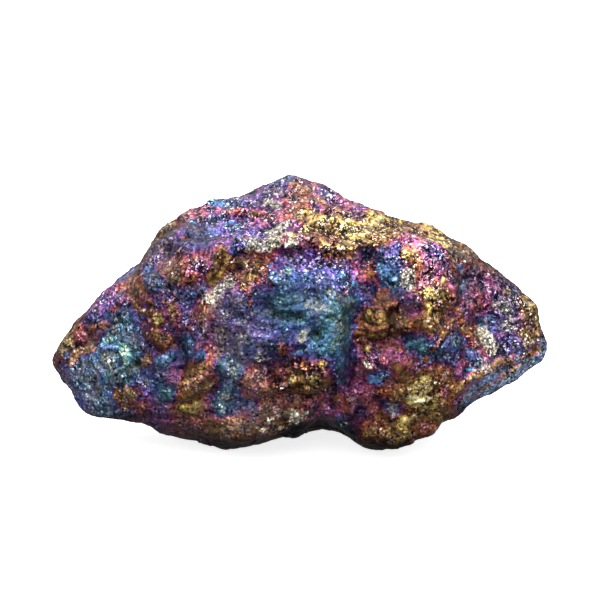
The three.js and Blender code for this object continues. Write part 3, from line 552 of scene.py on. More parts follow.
    ("ridge", [(27.4, 1.4), (29, -1.6), (30.6, -4.4), (32, -6.8)], 0.6, 0.3, "copper", 1.3),
    ("lump", [(30, 4.9), (28.8, 7.9)], 1.2, 0, "steel", 0.9),
    ("ridge", [(31.2, -8.2), (32.6, -9.6)], 1, 0.1, "steel", 1.5),
    ("lump", [(28.6, 0.4), (30, -2.8)], 0.5, 0.3, "gold", 1.6),
    ("lump", [(34.1, -2)], 1.3, 0.2, "blue", 1.3),
    ("lump", [(24, -2.6)], 1.5, 0.3, "bronze", 0.9),
    ("ridge", [(24, -7.4), (26.4, -4.4), (28.4, -1.6)], 0.4, 0.3, "bronze", 1.1),
    ("ridge", [(24.6, -7.6), (27, -4.6), (29, -1.8)], 0.4, -0.4, None, 0.4),
    ("ridge", [(20, -6.8), (22.4, -6.3)], 0.9, 0.2, "teal", 1.1),
    ("lump", [(20.2, -8.2)], 0.5, 0.2, "steel", 1.6),
    ("lump", [(28.4, -5.7)], 1.1, 0.3, "steel", 1.1),
    ("lump", [(22.8, -8.6)], 1, 0.5, "bronze", 0.8),
    ("ridge", [(24.1, -7.4), (24.7, -8.8), (25, -10.4)], 0.6, -0.7, None, 0.3),
    # right edge, with painted light on the band that faces down
    ("ridge", [(42.5, -1), (43, -3.5), (43, -6.3)], 0.6, 0.4, "bronze", 1.1),
    ("plate", [(41, -9), (37, -11.4), (33, -14), (31, -16.4)], 2.4, 0.05, "steel", 2.5),
    ("ridge", [
        (43.2, -4.6), (43.3, -7.4), (41, -8.4), (38.5, -9.2), (36, -10), (33, -11.4), (31, -12.6),
        (29, -14.2), (27.2, -16), (24, -18.5),
    ], 0.8, 0.3, "bronze", 1.4),
    ("ridge", [(41, -9.2), (38, -10.4), (35, -11.8), (32, -13.4), (30, -15.4)], 0.5, -0.4, "blue", 0.8),
    ("ridge", [(40.6, -7), (38, -8), (35.4, -8.8)], 0.4, -0.3, "purple", 0.6),
    ("ridge", [(40, -9.9), (36.6, -11.9), (33.4, -14), (31.4, -16.2)], 0.4, 0.3, "bronze", 2),
    ("lump", [(34.5, -12.2)], 0.9, 0.1, "steel", 2.2),
    ("lump", [(39.3, -9.3)], 0.8, 0.1, "steel", 2),
    ("lump", [(44.2, -5.6)], 1.2, 0.2, "steel", 1.1),
    ("ridge", [(41, -4.5), (41.6, -5.8)], 1, 0.2, "gold", 0.95),
    ("ridge", [(30.5, -8.6), (32.4, -8.6)], 0.8, 0.2, "blue", 1),
    ("lump", [(31, -11)], 0.5, 0.2, "steel", 1.5),
    # a painted glint: a small brass spot made very bright
    ("lump", [(21.8, -16.4), (22.4, -16)], 0.8, 0.5, "brass", 9),
    ("lump", [(23.4, -16.6), (20.6, -15.6)], 0.7, 0.3, "brass", 1.7),
    ("plate", [(21.4, -14.2), (23, -13.6)], 1.4, 0.2, "gold", 1.5),
    ("ridge", [(25, -15.4), (22, -18), (20, -20.4)], 0.9, 0.4, "gold", 0.8),
    # painted shade under the stone at the lower right
    ("ridge", [(24, -20), (27, -18.8), (30, -17.8)], 0.9, 0, None, 0.3),
]

# --- Stretches of the front, as (right, up, reach in mm, glitter, brightness, grey bloom)
# The brightness is partly the stone's own and partly painted light and shade: light put under the ledge and
# on low stretches that face down, and shade in hollows.
STRETCHES = [
    # roof
    (-18.5, 13.5, 3.5, 0.5, 0.45, 0.4), (-13, 17, 4, 0.9, 1.6, 0.3), (-7, 15, 3.5, 0.8, 1.1, 0.3),
    (-5, 22, 4, 0.8, 0.9, 0.6), (1, 21, 3.5, 0.85, 1, 0.6), (8, 19, 3, 0.9, 1.6, 0.4),
    (5, 15, 3.5, 1, 1.1, 0.3), (5, 18.5, 2.5, 1, 1.5, 0.3), (11, 15.5, 3.5, 1, 1.1, 0.3),
    (17, 15.5, 3, 0.9, 0.9, 0.4), (-6, 11.5, 3, 0.5, 1.1, 0.3), (2, 12.5, 3, 0.8, 1.2, 0.2),
    # painted light that lifts the shade under the ledge
    (-4, 9.3, 2.5, 0.5, 1.1, 0.3),
    # upper left
    (-25, 9, 5, 0.4, 0.8, 0.85), (-29, 3, 4, 0.4, 1, 0.5), (-20, 6.3, 2.5, 0.9, 1, 0.1),
    (-24, 3, 2.5, 0.5, 1.2, 0.3), (-18.5, 3, 2.5, 0.8, 2.3, 0.1), (-14, 7.5, 3, 0.6, 0.9, 0.2),
    (-9, 6, 3, 0.9, 0.75, 0.2),
    # left tip
    (-35, 1, 4, 0.6, 1.3, 0.3), (-42, -5, 3.5, 0.5, 0.8, 0.4), (-34, -8, 4, 0.4, 0.9, 0.5),
    (-29.5, -7, 2.5, 0.4, 0.4, 0.3), (-38, -13, 4, 0.4, 1.5, 0.7), (-31, -14, 4, 0.4, 1, 0.4),
    (-37, -17, 2.5, 0.4, 2, 0.6),
    # lower left
    (-27, -3, 4, 0.5, 0.6, 0.3), (-20, -1, 4, 0.6, 0.75, 0.3), (-24.5, -9, 3, 0.2, 0.45, 0.1),
    (-20.5, -7, 2.5, 0.2, 0.15, 0), (-24, -12.5, 2.5, 0.3, 0.5, 0.2), (-12, -11, 3, 0.3, 1, 0.6),
    (-14, -17, 3, 0.3, 1.9, 0.4), (-19, -13, 3.5, 0.35, 0.7, 0.2), (-22, -17, 4, 0.3, 1.7, 0.3),
    (-18, -18, 2.5, 0.4, 2.6, 0.1), (-8, -17.5, 4, 0.3, 1.5, 0.8),
    # centre
    (-13, -1, 4.5, 0.2, 0.9, 0.85), (-10, -6, 4, 0.2, 0.95, 0.8), (-15.5, 2.5, 3, 0.3, 1.1, 0.6),
    (0, 8.5, 3, 0.9, 2.8, 0.5), (7, 7, 3, 0.8, 1.9, 0.2), (6, 3, 2, 0.4, 0.7, 0.5),
    (0.5, 4, 2.5, 0.15, 0.15, 0), (-4, 2, 4, 0.15, 0.3, 0), (3, 1, 3.5, 0.1, 0.4, 0.1),
    (7.5, 0, 3, 0.2, 0.85, 0.55), (3, -4, 4, 0.15, 0.6, 0), (-4, -5, 3.5, 0.3, 0.65, 0.3),
    (5.8, -7, 2.5, 0.2, 0.6, 0.1), (-3, -12, 3.5, 0.8, 0.35, 0), (3, -12.5, 3.5, 0.8, 0.55, 0),
    (2, -17.5, 3, 0.3, 1.5, 0.8), (6.5, -16.5, 2.5, 0.3, 2.2, 0.4), (-1.5, -20, 2.5, 0.4, 0.55, 0.8),
    (4.5, -20.4, 2.2, 0.3, 0.3, 0.1), (-18, -21, 3, 0.3, 1, 0.9), (8.8, -10, 2.5, 0.1, 0.9, 0.2),
    # right
    (17, 9, 2.5, 0.8, 1, 0), (15.4, 6.5, 2, 0.25, 0.85, 0), (19.5, 5.5, 2, 0.6, 1.1, 0),
    (23, 9, 4, 1, 2.6, 0.3), (26, 13.5, 3, 0.9, 1.05, 0.3), (31, 7, 4.5, 0.5, 0.42, 0.7),
    (29, 3, 3, 0.6, 0.7, 0.3), (24.5, 2.5, 3.5, 0.9, 0.9, 0), (33, 2.5, 2.5, 1, 1.2, 0.1),
    (38.5, -1, 3, 1, 1.2, 0.9), (42.5, -1, 3, 0.9, 1.1, 0.4), (34, -3, 3, 0.6, 0.75, 0.2),
    # lower right
    (13.5, -2.5, 3, 0.2, 0.65, 0), (17, 0, 3, 0.3, 0.25, 0.1), (18.5, 2.5, 2.5, 0.3, 0.1, 0.2),
    (12, 7.5, 2, 0.6, 0.6, 0), (13, -9, 3.5, 0.6, 0.85, 0.1), (19, -6, 4, 0.25, 0.25, 0.2),
    (27, -6, 4, 0.5, 0.7, 0.3), (18, -12, 2.5, 0.4, 1.2, 0.1), (24, -12, 3.5, 0.6, 0.75, 0),
    (21.5, -16.5, 2.5, 0.7, 2.2, 0), (25, -17, 2.5, 0.5, 2.5, 0.1), (16, -17, 4, 0.3, 1.4, 0.1),
    (15, -22, 4, 0.4, 0.7, 0.2), (10, -21.2, 2.2, 0.3, 0.3, 0.1), (29, -13, 3, 0.5, 1.7, 0.3),
    # painted light on the band along the lower right edge, which faces down
    (35, -12, 4, 0.6, 2.8, 0.7), (35.5, -7, 2, 0.7, 0.3, 0.3), (42, -8, 3, 0.7, 2.5, 0.6),
]
ELSEWHERE = (0.5, 1, 0.3)  # glitter, brightness and bloom away from every stretch


# --- Noise
def lattice_random(cells, seed):
    """A repeatable number from 0 to 1 for each whole-numbered cell."""
    x, y, z = cells.astype(np.int64).astype(np.uint64).T
    mixed = x * np.uint64(374761393) + y * np.uint64(668265263)
    mixed += z * np.uint64(2147483647) + np.uint64(seed * 974634777)
    mixed &= np.uint64(0xFFFFFFFF)
    mixed = (mixed ^ (mixed >> np.uint64(13))) * np.uint64(1274126177) & np.uint64(0xFFFFFFFF)
    mixed = (mixed ^ (mixed >> np.uint64(16))) * np.uint64(2246822519) & np.uint64(0xFFFFFFFF)
    return (mixed ^ (mixed >> np.uint64(13))).astype(float) / 2**32


def smooth_noise(points, size, seed):
    """Rolling noise from -1 to 1, whose hills are about size across."""
    place = points / size + seed * 7.31
    cell = np.floor(place)
    part = place - cell
    part = part**3 * (part * (part * 6 - 15) + 10)
    total = np.zeros(len(points))
    for corner in itertools.product((0, 1), repeat=3):
        share = np.prod(np.where(corner, part, 1 - part), axis=1)
        total += share * lattice_random(cell + corner, seed)
    return 2 * total - 1


def noise_vector(points, size, seed):
    """Three noises side by side, to push points about with."""
    return np.stack([smooth_noise(points, size, seed + axis) for axis in range(3)], axis=1)


def stray(points, kind):
    """How far, in mm, the borders of one kind of thing stray at each point."""
    return sum(far * noise_vector(points, size, seed) for far, size, seed in STRAY[kind])


def grain_cells(points, size, seed):
    """Splits space into grains about size across. Gives for each point the way to its grain's middle,
    in sizes, how much nearer that is than the next grain's, and three random numbers of the grain."""
    place = points / size
    cell = np.floor(place)
    nearest = np.full(len(points), np.inf)
    second = np.full(len(points), np.inf)
    away = np.zeros_like(points)
    numbers = np.zeros_like(points)
    for step in itertools.product((-1, 0, 1), repeat=3):
        other = cell + step
        middle = other + np.stack([lattice_random(other, seed + axis) for axis in range(3)], axis=1)
        way = middle - place
        distance = np.linalg.norm(way, axis=1)
        closer = distance < nearest
        second = np.where(closer, nearest, np.minimum(second, distance))
        nearest = np.where(closer, distance, nearest)
        away[closer] = way[closer]
        numbers[closer] = np.stack([lattice_random(other[closer], seed + 3 + k) for k in range(3)], axis=1)
    return away, second - nearest, numbers


def rising(values, start, end):
    """0 up to start, 1 from end, and a straight climb between them."""
    return np.clip((values - start) / (end - start), 0, 1)


# --- Meshes
def only(obj):
    """Makes obj the one selected and active object."""
    bpy.ops.object.select_all(action="DESELECT")
    obj.select_set(True)
    bpy.context.view_layer.objects.active = obj


def apply_modifier(obj, kind, **settings):
    """Adds a modifier with its settings, and makes what it does part of the mesh."""
    modifier = obj.modifiers.new(kind.title(), kind)
    for name, value in settings.items():
        setattr(modifier, name, value)
    only(obj)
    bpy.ops.object.modifier_apply(modifier=modifier.name)


def vertex_vectors(mesh, name):
    """The place, "co", or the normal, "normal", of every vertex."""
    vectors = np.empty(len(mesh.vertices) * 3)
    mesh.vertices.foreach_get(name, vectors)
    return vectors.reshape(-1, 3)


def surface_tree(mesh):
    """The surface in a form that answers where a line meets it."""
    shape = bmesh.new()
    shape.from_mesh(mesh)
    tree = BVHTree.FromBMesh(shape)
    shape.free()
    return tree


def sight_places(points):
    """Points, in mm, as the front eye sees them: right and up on the sight plane, and how far they
    lie behind it, which counts for less."""
    from_eye = points - np.array(FRONT_EYE) / MM
    depth = from_eye @ -np.array(TOWARDS_EYE)
    spread = EYE_DISTANCE / MM / depth
    right = from_eye @ np.array(RIGHT) * spread
    up = from_eye @ np.array(UP) * spread
    return np.stack([right, up, (depth - EYE_DISTANCE / MM) * DEPTH_WEIGHT], axis=1)


def seen_spots(tree, places):
    """Where the front eye meets the surface through places on the sight plane, as it sees them."""
    spots = []
    for right, up in places:
        aim = STONE_MIDDLE + (RIGHT * right + UP * up) * MM
        hit = tree.ray_cast(FRONT_EYE, (aim - FRONT_EYE).normalized())[0]
        spots.append(hit or tree.find_nearest(aim)[0])
    return sight_places(np.array(spots) / MM)


# --- Relief
# A form's height, as a share of the most, at a distance from its middle or path in its own reaches.
FORMS = {
    "lump": lambda share: np.clip(1 - share**2, 0, None) ** 2,
    "ridge": lambda share: np.clip(1 - share, 0, None) ** RIDGE_SHARPNESS,
    "plate": lambda share: np.clip((1 - share) / PLATE_EDGE, 0, 1),
    "ring": lambda share: np.clip(1 - ((share - RING_PLACE) / RING_WIDTH) ** 2, 0, None),
    "swirl": lambda share: np.clip(SWIRL_STEEPNESS * (1 - share), 0, 1) * np.cos(SWIRL_WAVES * share),
}


def distance_to_path(points, path):
    """How far each point is from a line drawn from spot to spot."""
    if len(path) == 1:
        return np.linalg.norm(points - path[0], axis=1)
    least = np.full(len(points), np.inf)
    for start, end in itertools.pairwise(path):
        run = end - start
        share = np.clip((points - start) @ run / (run @ run), 0, 1)
        least = np.minimum(least, np.linalg.norm(points - start - share[:, None] * run, axis=1))
    return least


def feature_distances(seen, tree):
    """For every feature, the distance of each seen point from its places, in its own reaches."""
    for form, places, reach, *_ in FEATURES:
        path = seen_spots(tree, places)
        if form in ("ridge", "plate"):
            distance = distance_to_path(seen, path)
        else:
            distance = np.min([np.linalg.norm(seen - spot, axis=1) for spot in path], axis=0)
        yield distance / reach


def chip_height(points, settings):
    """Flat chips, each at its own height and slope, in shares of the most."""
    away, _, numbers = grain_cells(points, settings.chip_size / MM, SEED["chips"])
    return (numbers[:, 0] - 0.5) + np.sum(away * (numbers - 0.5), axis=1)


def lump_height(points, settings):
    """Small lumps with creases between them."""
    _, border, numbers = grain_cells(points, settings.lump_size / MM, SEED["lumps"])
    return (np.minimum(border * LUMP_STEEPNESS, 1) - LUMP_CREASE) * (0.5 + numbers[:, 0])


def dome_height(points):
    """Round grains, each with its own height, in shares of the usual."""
    away, _, numbers = grain_cells(points + stray(points, "domes"), DOME_SIZE, SEED["domes"])
    return (1 - np.sum(away**2, axis=1) * DOME_ROUNDNESS) * (0.5 + numbers[:, 0])


def broken_relief(points, shares, glitter, calm, settings):
    """Height in mm that the features, breaks, grains and pits add to the surface at points, and the
    part of it that is small lumps and pits."""
    skewed = points + stray(points, "chips")
    chips = settings.chip_height / MM * chip_height(skewed, settings)
    lumps = settings.lump_height / MM * lump_height(skewed, settings)
    domes = DOME_HEIGHT * dome_height(points)
    grain = settings.grain_height / MM * smooth_noise(points, settings.grain_size / MM, SEED["grain"])
    pits = PIT_STEEPNESS * (smooth_noise(points, PIT_SIZE, SEED["pits"]) - PIT_START)
    pits = -PIT_DEPTH * np.clip(pits, 0, 1)
    own = np.zeros(len(points))
    for share, (form, _, _, height, _, _) in zip(shares, FEATURES):
        own += FEATURE_RISE * height * FORMS[form](share)
    rough = calm * ((lumps + grain) * (CALMEST + (1 - CALMEST) * glitter) + domes * glitter + pits)
    return calm * chips + rough + own, rough


# --- Tarnish
def zone_film(points, seen, tree):
    """The tarnish film from 0 to 1: the named zones in front, drifts of it behind."""
    wander = stray(points, "zones")
    skewed = seen + wander * (1, 1, DEPTH_WEIGHT)
    total = np.zeros(len(points))
    weight = np.zeros(len(points))
    for finish, zones in ZONES:
        spots = seen_spots(tree, [(right, up) for right, up, _ in zones])
        for spot, (_, _, reach) in zip(spots, zones):
            distance = np.linalg.norm(skewed - spot, axis=1) / reach
            share = np.exp(-(distance**2) * ZONE_CRISPNESS)
            total += share * FILM[finish]
            weight += share
    drift = 0.5
    for (contrast, size), seed in ((DRIFT, SEED["drift"]), (FINER_DRIFT, SEED["finer drift"])):
        drift = drift + contrast * smooth_noise(points, size, seed)
    _, _, numbers = grain_cells(points + wander, DRIFT_PATCH, SEED["drift patches"])
    drift = np.clip(0.5 * drift + 0.5 * numbers[:, 0], 0, 1)
    return (total + BACKGROUND * drift) / (weight + BACKGROUND)


def surface_character(seen, tree):
    """Glitter, brightness and bloom at each seen point, blended from the stretches round it."""
    total = np.full((len(seen), 3), BACKGROUND) * ELSEWHERE
    weight = np.full(len(seen), BACKGROUND)
    spots = seen_spots(tree, [(right, up) for right, up, *_ in STRETCHES])
    for spot, (_, _, reach, *character) in zip(spots, STRETCHES):
        share = np.exp(-((np.linalg.norm(seen - spot, axis=1) / reach) ** 2))
        total += share[:, None] * np.array(character)
        weight += share
    return (total / weight[:, None]).T


def fade(finish, height):
    """Where a feature's finish ends, and how far inside that it is full."""
    if finish in CRUST:
        return CRUST_FADE
    return RAISED_FADE if height > 0 else SUNKEN_FADE


def feature_finishes(points, shares, film, brightness):
    """Lays every feature's finish over the film. Gives the film, the brightness with its painted light and
    shade, and how far pale crust covers the surface and its tint."""
    tone = 1
    for (contrast, size), name in ((BROAD_SHADE, "broad shade"), (FINE_SHADE, "fine shade")):
        tone = tone + contrast * smooth_noise(points, size, SEED[name])
    tone *= brightness
    around = np.sqrt(brightness)
    crust = np.zeros(len(points))
    tint = np.zeros(len(points))
    ragged = RAGGEDNESS * smooth_noise(points, RAGGED_SIZE, SEED["ragged edge"])
    for share, (form, _, reach, height, finish, own_tone) in zip(shares, FEATURES):
        if form == "swirl":
            tone *= 1 + SWIRL_CONTRAST * FORMS[form](share)
            continue
        edge, softness = fade(finish, height)
        presence = np.clip((edge - share - ragged / reach) / softness, 0, 1)
        # painted shade in the crease round each raised feature
        if height > OUTLINE_HEIGHT:
            tone *= 1 - OUTLINE_SHADE * np.exp(-(((share - OUTLINE_PLACE) / OUTLINE_WIDTH) ** 2))
        # inside a feature its own brightness takes over; for many features that is painted shade in a
        # crevice or painted light
        tone += presence * ((1 + FEATURE_CONTRAST * (own_tone - 1)) * around - tone)
        if finish in FILM:
            film += np.clip(2 * presence - 0.5, 0, 1) * (FILM[finish] - film)
        if finish in CRUST:
            tint = np.where(presence > 0, CRUST[finish], tint)
            crust = np.maximum(crust, presence * CRUST_COVER[finish])
        elif finish or own_tone < 1:
            crust = crust * (1 - presence)
    return film, tone, crust, tint


def paint(mesh, points, seen, tree, shares, character, rough, facing):
    """Writes what the material reads: film, crust and its tint, brightness with its painted light and
    shade, glitter and bloom.
    """
    glitter, brightness, bloom = character
    film = zone_film(points, seen, tree)
    film, tone, crust, tint = feature_finishes(points, shares, film, brightness)
    film -= CREST_FILM * rough
    # painted light on raised lumps and grain, painted shade in pits
    tone *= 1 + CREST_LIGHT * rough
    # painted shade at the stone's foot
    level = rising(seen[:, 1], *FOOT_SHADE)
    # painted shade on low faces that look down
    underside_shade = rising(-vertex_vectors(mesh, "normal")[:, 2], *UNDERSIDE_SHADE_SLOPE)
    underside_shade = underside_shade * rising(-seen[:, 1], *UNDERSIDE_SHADE_DROP)
    tone *= (FOOT_SHADE_TONE + (1 - FOOT_SHADE_TONE) * level) * (1 - UNDERSIDE_SHADE * underside_shade)
    # painted shade along the outline, where the surface turns from the front eye; the film turns toward
    # bronze there too
    rim = np.clip(1 - facing / RIM_END, 0, 1)
    tone *= 1 - RIM_SHADE * rim
    film += RIM_BRONZE * rim * (FILM["bronze"] - film)
    for name, values in (
        ("film", film),
        ("crust", crust),
        ("crust_tint", tint),
        ("tone", tone),
        ("glitter", glitter),
        ("bloom", bloom),
    ):
        mesh.attributes.new(name, "FLOAT", "POINT").data.foreach_set("value", values.astype(np.float32))


# --- Nodes
def join(tree, socket, value):
    """Sets a node's input to a value, or joins it to another node's output."""
    if isinstance(value, bpy.types.NodeSocket):
        tree.links.new(value, socket)
    else:
        socket.default_value = value


def add(tree, kind, inputs=None, **settings):
    """A new node with its settings, and its inputs set to values or joined to other sockets."""
    made = tree.nodes.new(kind)
    for name, value in settings.items():
        setattr(made, name, value)
    for name, value in (inputs or {}).items():
        join(tree, made.inputs[name], value)
    return made


def math_node(tree, operation, first, second=0.0, third=0.0, clamp=False):
    """A sum or other reckoning with numbers."""
    inputs = {0: first, 1: second, 2: third}
    return add(tree, "ShaderNodeMath", inputs, operation=operation, use_clamp=clamp).outputs[0]


def multiply(tree, first, second):
    """first times second."""
    return math_node(tree, "MULTIPLY", first, second)


def from_middle(tree, value):
    """How far a value that runs from 0 to 1 is above its middle."""
    return math_node(tree, "SUBTRACT", value, 0.5)


def scaled(tree, value, factor, offset, clamp=False):
    """value times factor, plus offset."""
    return math_node(tree, "MULTIPLY_ADD", value, factor, offset, clamp)


def vector_math(tree, operation, first, second=(0, 0, 0), scale=1.0):
    """A reckoning with places, directions or colours."""
    inputs = {0: first, 1: second, 3: scale}
    return add(tree, "ShaderNodeVectorMath", inputs, operation=operation).outputs[0]


def attribute(tree, name):
    """What the mesh's own attribute says."""
    return add(tree, "ShaderNodeAttribute", attribute_name=name).outputs["Fac"]


def mix_colour(tree, share, first, second, blend="MIX"):
    """The first colour, with a share of the second over it."""
    inputs = {0: share, 6: first, 7: second}
    return add(tree, "ShaderNodeMix", inputs, data_type="RGBA", blend_type=blend).outputs[2]


def darken(tree, colour, value):
    """The colour times a brightness."""
    grey = add(tree, "ShaderNodeCombineColor", {0: value, 1: value, 2: value}).outputs[0]
    return mix_colour(tree, 1.0, colour, grey, "MULTIPLY")


def map_range(tree, value, source, target):
    """A value that runs over source, made to run over target."""
    names = ("Value", "From Min", "From Max", "To Min", "To Max")
    inputs = dict(zip(names, (value, *source, *target)))
    return add(tree, "ShaderNodeMapRange", inputs).outputs["Result"]


def ramp(tree, share, stops):
    """The colour for a share from 0 to 1, from (place, colour) stops."""
    node = add(tree, "ShaderNodeValToRGB", {"Fac": share})
    elements = node.color_ramp.elements
    while len(elements) < len(stops):
        elements.new(0.5)
    for element, (position, colour) in zip(elements, stops):
        element.position = position
        element.color = colour
    return node.outputs["Color"]


def srgb(red, green, blue):
    """A colour as eyes and screens count it, from 0 to 255, made linear."""
    return tuple(
        value / 255 / 12.92 if value <= 10 else ((value / 255 + 0.055) / 1.055) ** 2.4
        for value in (red, green, blue)
    ) + (1.0,)


# --- The material's numbers
# Each pattern's cells per mm, detail, roughness and distortion.
PATTERNS = {
    "mottle": (0.5, 3, 0.6, 0),
    "bloom": (0.42, 3, 0.7, 0),
    "patches": (0.5, 2, 0.5, 0),
    "crust": (1.3, 3, 0.65, 0),
    "pore_shade": (2.4, 2, 0.6, 0),
    "creases": (0.34, 4, 0.6, 0),
    "wrinkles": (0.9, 3, 0.6, 1.2),
    "grit": (2.2, 2, 0.8, 0),
    "roughness": (2.2, 3, 0.7, 0),
}
# What each value runs from and to, and what that becomes.
RANGES = {
    "bloom": ((0.55, 0.82), (0, 0.85)),
    "patches": ((0.38, 0.62), (0.15, 1.75)),
    # painted highlight on the grains' middles
    "crest_highlight": ((0, 0.4), (0.4, 0)),
    "crust": ((0.38, 0.7), (0, 1)),
    # painted shade in the crust's small pits
    "pore_shade": ((0.4, 0.56), (0.25, 1.1)),
    # painted shade in the gaps between grains and flakes, and painted light on the grains' domes
    "grain gap": ((0.02, 0.2), (0.12, 1.3)),
    "flake gap": ((0, 0.18), (0.6, 1.1)),
    "grain dome": ((0.1, 0.7), (1.15, 0.9)),
    # painted shade along creases and wrinkles
    "creases": ((0, 0.022), (0.45, 1)),
    "wrinkles": ((0, 0.05), (-0.45, 0.08)),
    "grit": ((0.35, 0.65), (-1, 1)),
    # pale painted sparkles
    "painted_sparkle": ((0.2, 0.4), (1, 0)),
    # dark holes of painted shade
    "hole_shade": ((0.24, 0.45), (1, 0)),
}
GLINTING = (0.34, 0.42)  # a flake's gleam where its glint starts and where it is full
# How strong each thing is where nothing glitters, and how much stronger where all does.
BY_GLITTER = {
    "contrast": (0.2, 0.8),
    "flicker": (0.3, 1.1),
    "gaps": (0.35, 0.6),
    "wrinkles": (0.5, 0.6),
    "grit": (0.35, 0.8),
    "painted_sparkle": (0.25, 0.75),
    "lean": (0.25, 0.75),
    "hollow": (-0.2, -0.7),
    "fine": (0.45, 0.8),
}
# Scattered spots, pale painted sparkles and dark holes of painted shade: how wide their cells are, in mm,
# and the share of cells without one.
PAINTED_SPARKLES = (0.6, 0.7)
HOLES = (0.75, 0.6)
HOLES_APART = (3.3, 1.7, 5.1)  # in mm, so that the holes' painted shade and the painted sparkles don't fall together
GREY_BLOOM = srgb(122, 112, 112)
# colours of the painted highlights: on grain middles, glints and sparkles
CREST_HIGHLIGHT_COLOUR = srgb(236, 224, 228)
PALE_GLINT = srgb(240, 222, 236)
PAINTED_SPARKLE_COLOUR = srgb(226, 216, 222)
CRUST_COLOURS = (srgb(206, 202, 176), srgb(96, 98, 82))  # cream and olive
GRAIN_CROOKEDNESS = 1.98  # how far the grains' borders stray, in their own sizes
FLAKE_CROOKEDNESS = 1.1
FLAKE_LEAN = 0.35  # next to the grains' lean
BLOOM_WEIGHT = 0.28  # of the mesh's own bloom, next to its pattern
# how pale and how much lighter the painted sparkles are
PAINTED_SPARKLE_PALENESS = 0.35
PAINTED_SPARKLE_LIGHT = 1.5
# how dark the painted shade in the holes is
HOLE_SHADE = 0.85
CRUST_BREAKS = 1.8  # how far a crust's pattern breaks it up
CRUST_MOTTLE = -2.2  # and how far it shifts its tint
CRUST_OPACITY = 0.85
METAL = 0.9
CRUST_METAL = 0.15
ROUGHNESS = 0.42
# What is added to the roughness by a grain's gleam, by glitter and by crust.
GRAIN_ROUGHNESS = -0.2
GLITTER_ROUGHNESS = -0.14
CRUST_ROUGHNESS = 0.35
GLOSS_ROUGHNESS = 0.3
BUMP_HEIGHT = 0.35  # in mm

Grains = namedtuple("Grains", "lean tint shade gleam edge middle")


def pattern(tree, place, name):
    """One of the patterns, from 0 to 1."""
    inputs = dict(zip(("Scale", "Detail", "Roughness", "Distortion"), PATTERNS[name]))
    return add(tree, "ShaderNodeTexNoise", {"Vector": place, **inputs}).outputs["Fac"]


def creased(tree, place, name):
    """How far a pattern is from its middle value: 0 along winding lines."""
    return math_node(tree, "ABSOLUTE", from_middle(tree, pattern(tree, place, name)))


def grain_layer(tree, place, size, crookedness):
    """Crooked grains about size across. Each has a random lean and, from it, three random numbers;
    edge and middle say how far a spot is from those of its grain."""
    drift = add(tree, "ShaderNodeTexNoise", {"Vector": place, "Scale": 0.7 * MM / size, "Detail": 2.0})
    drift = vector_math(tree, "SUBTRACT", drift.outputs["Color"], (0.5, 0.5, 0.5))
    drift = vector_math(tree, "SCALE", drift, scale=crookedness * size / MM)
    inputs = {"Vector": vector_math(tree, "ADD", place, drift), "Scale": MM / size}
    middles = add(tree, "ShaderNodeTexVoronoi", inputs)
    edges = add(tree, "ShaderNodeTexVoronoi", inputs, feature="DISTANCE_TO_EDGE")
    lean = vector_math(tree, "SUBTRACT", middles.outputs["Color"], (0.5, 0.5, 0.5))
    numbers = add(tree, "ShaderNodeSeparateXYZ", {0: lean}).outputs
    return Grains(lean, *numbers, edges.outputs["Distance"], middles.outputs["Distance"])


def ranged(tree, value, name):
    """A value made to run over its own range."""
    return map_range(tree, value, *RANGES[name])


def by_glitter(tree, glitter, name, factor=1, clamp=False):
    """How strong a thing is at a spot, from how much the spot glitters."""
    least, more = BY_GLITTER[name]
    return scaled(tree, glitter, more * factor, least * factor, clamp)


def scattered(tree, place, size, rarity, name):
    """Round spots, one in some of the cells size mm across: 1 on a spot, 0 off it."""
    cells = add(tree, "ShaderNodeTexVoronoi", {"Vector": place, "Scale": 1 / size})
    lot = add(tree, "ShaderNodeSeparateXYZ", {0: cells.outputs["Color"]}).outputs["X"]
    chosen = math_node(tree, "GREATER_THAN", lot, rarity)
    return multiply(tree, chosen, ranged(tree, cells.outputs["Distance"], name))


# --- The tarnished ore
def film_colour(tree, settings, place, grains, flakes, glitter, painted_sparkle):
    """The film's colour, greyed by bloom, with painted highlights: paled on the grains' middles, on
    glinting flakes and on sparkles.
    """
    mottle = from_middle(tree, pattern(tree, place, "mottle"))
    film = scaled(tree, mottle, settings.mottle, attribute(tree, "film"))
    film = scaled(tree, grains.tint, settings.grain_tint, film)
    colour = ramp(tree, film, [(thickness, srgb(*shade)) for thickness, shade in TARNISH.values()])
    bloom = scaled(tree, attribute(tree, "bloom"), BLOOM_WEIGHT, pattern(tree, place, "bloom"))
    colour = mix_colour(tree, ranged(tree, bloom, "bloom"), colour, GREY_BLOOM)
    # painted highlights: the grains' middles paled, and glints on some flakes
    crest_highlight = multiply(tree, glitter, ranged(tree, grains.middle, "crest_highlight"))
    colour = mix_colour(tree, crest_highlight, colour, CREST_HIGHLIGHT_COLOUR)
    glint = multiply(tree, map_range(tree, flakes.gleam, GLINTING, (0, settings.glint)), glitter)
    colour = mix_colour(tree, glint, colour, PALE_GLINT)
    # pale painted sparkles
    return mix_colour(tree, multiply(tree, painted_sparkle, PAINTED_SPARKLE_PALENESS), colour, PAINTED_SPARKLE_COLOUR)


def pale_crust(tree, place):
    """How far pale crust covers the film, and the crust's own colour, darkened by painted shade in its
    small pits.
    """
    speck = from_middle(tree, pattern(tree, place, "crust"))
    cover = ranged(tree, scaled(tree, speck, CRUST_BREAKS, attribute(tree, "crust")), "crust")
    tint = scaled(tree, speck, CRUST_MOTTLE, attribute(tree, "crust_tint"), clamp=True)
    # painted shade in the crust's small pits
    pore_shade = ranged(tree, pattern(tree, place, "pore_shade"), "pore_shade")
    return cover, darken(tree, mix_colour(tree, tint, *CRUST_COLOURS), pore_shade)


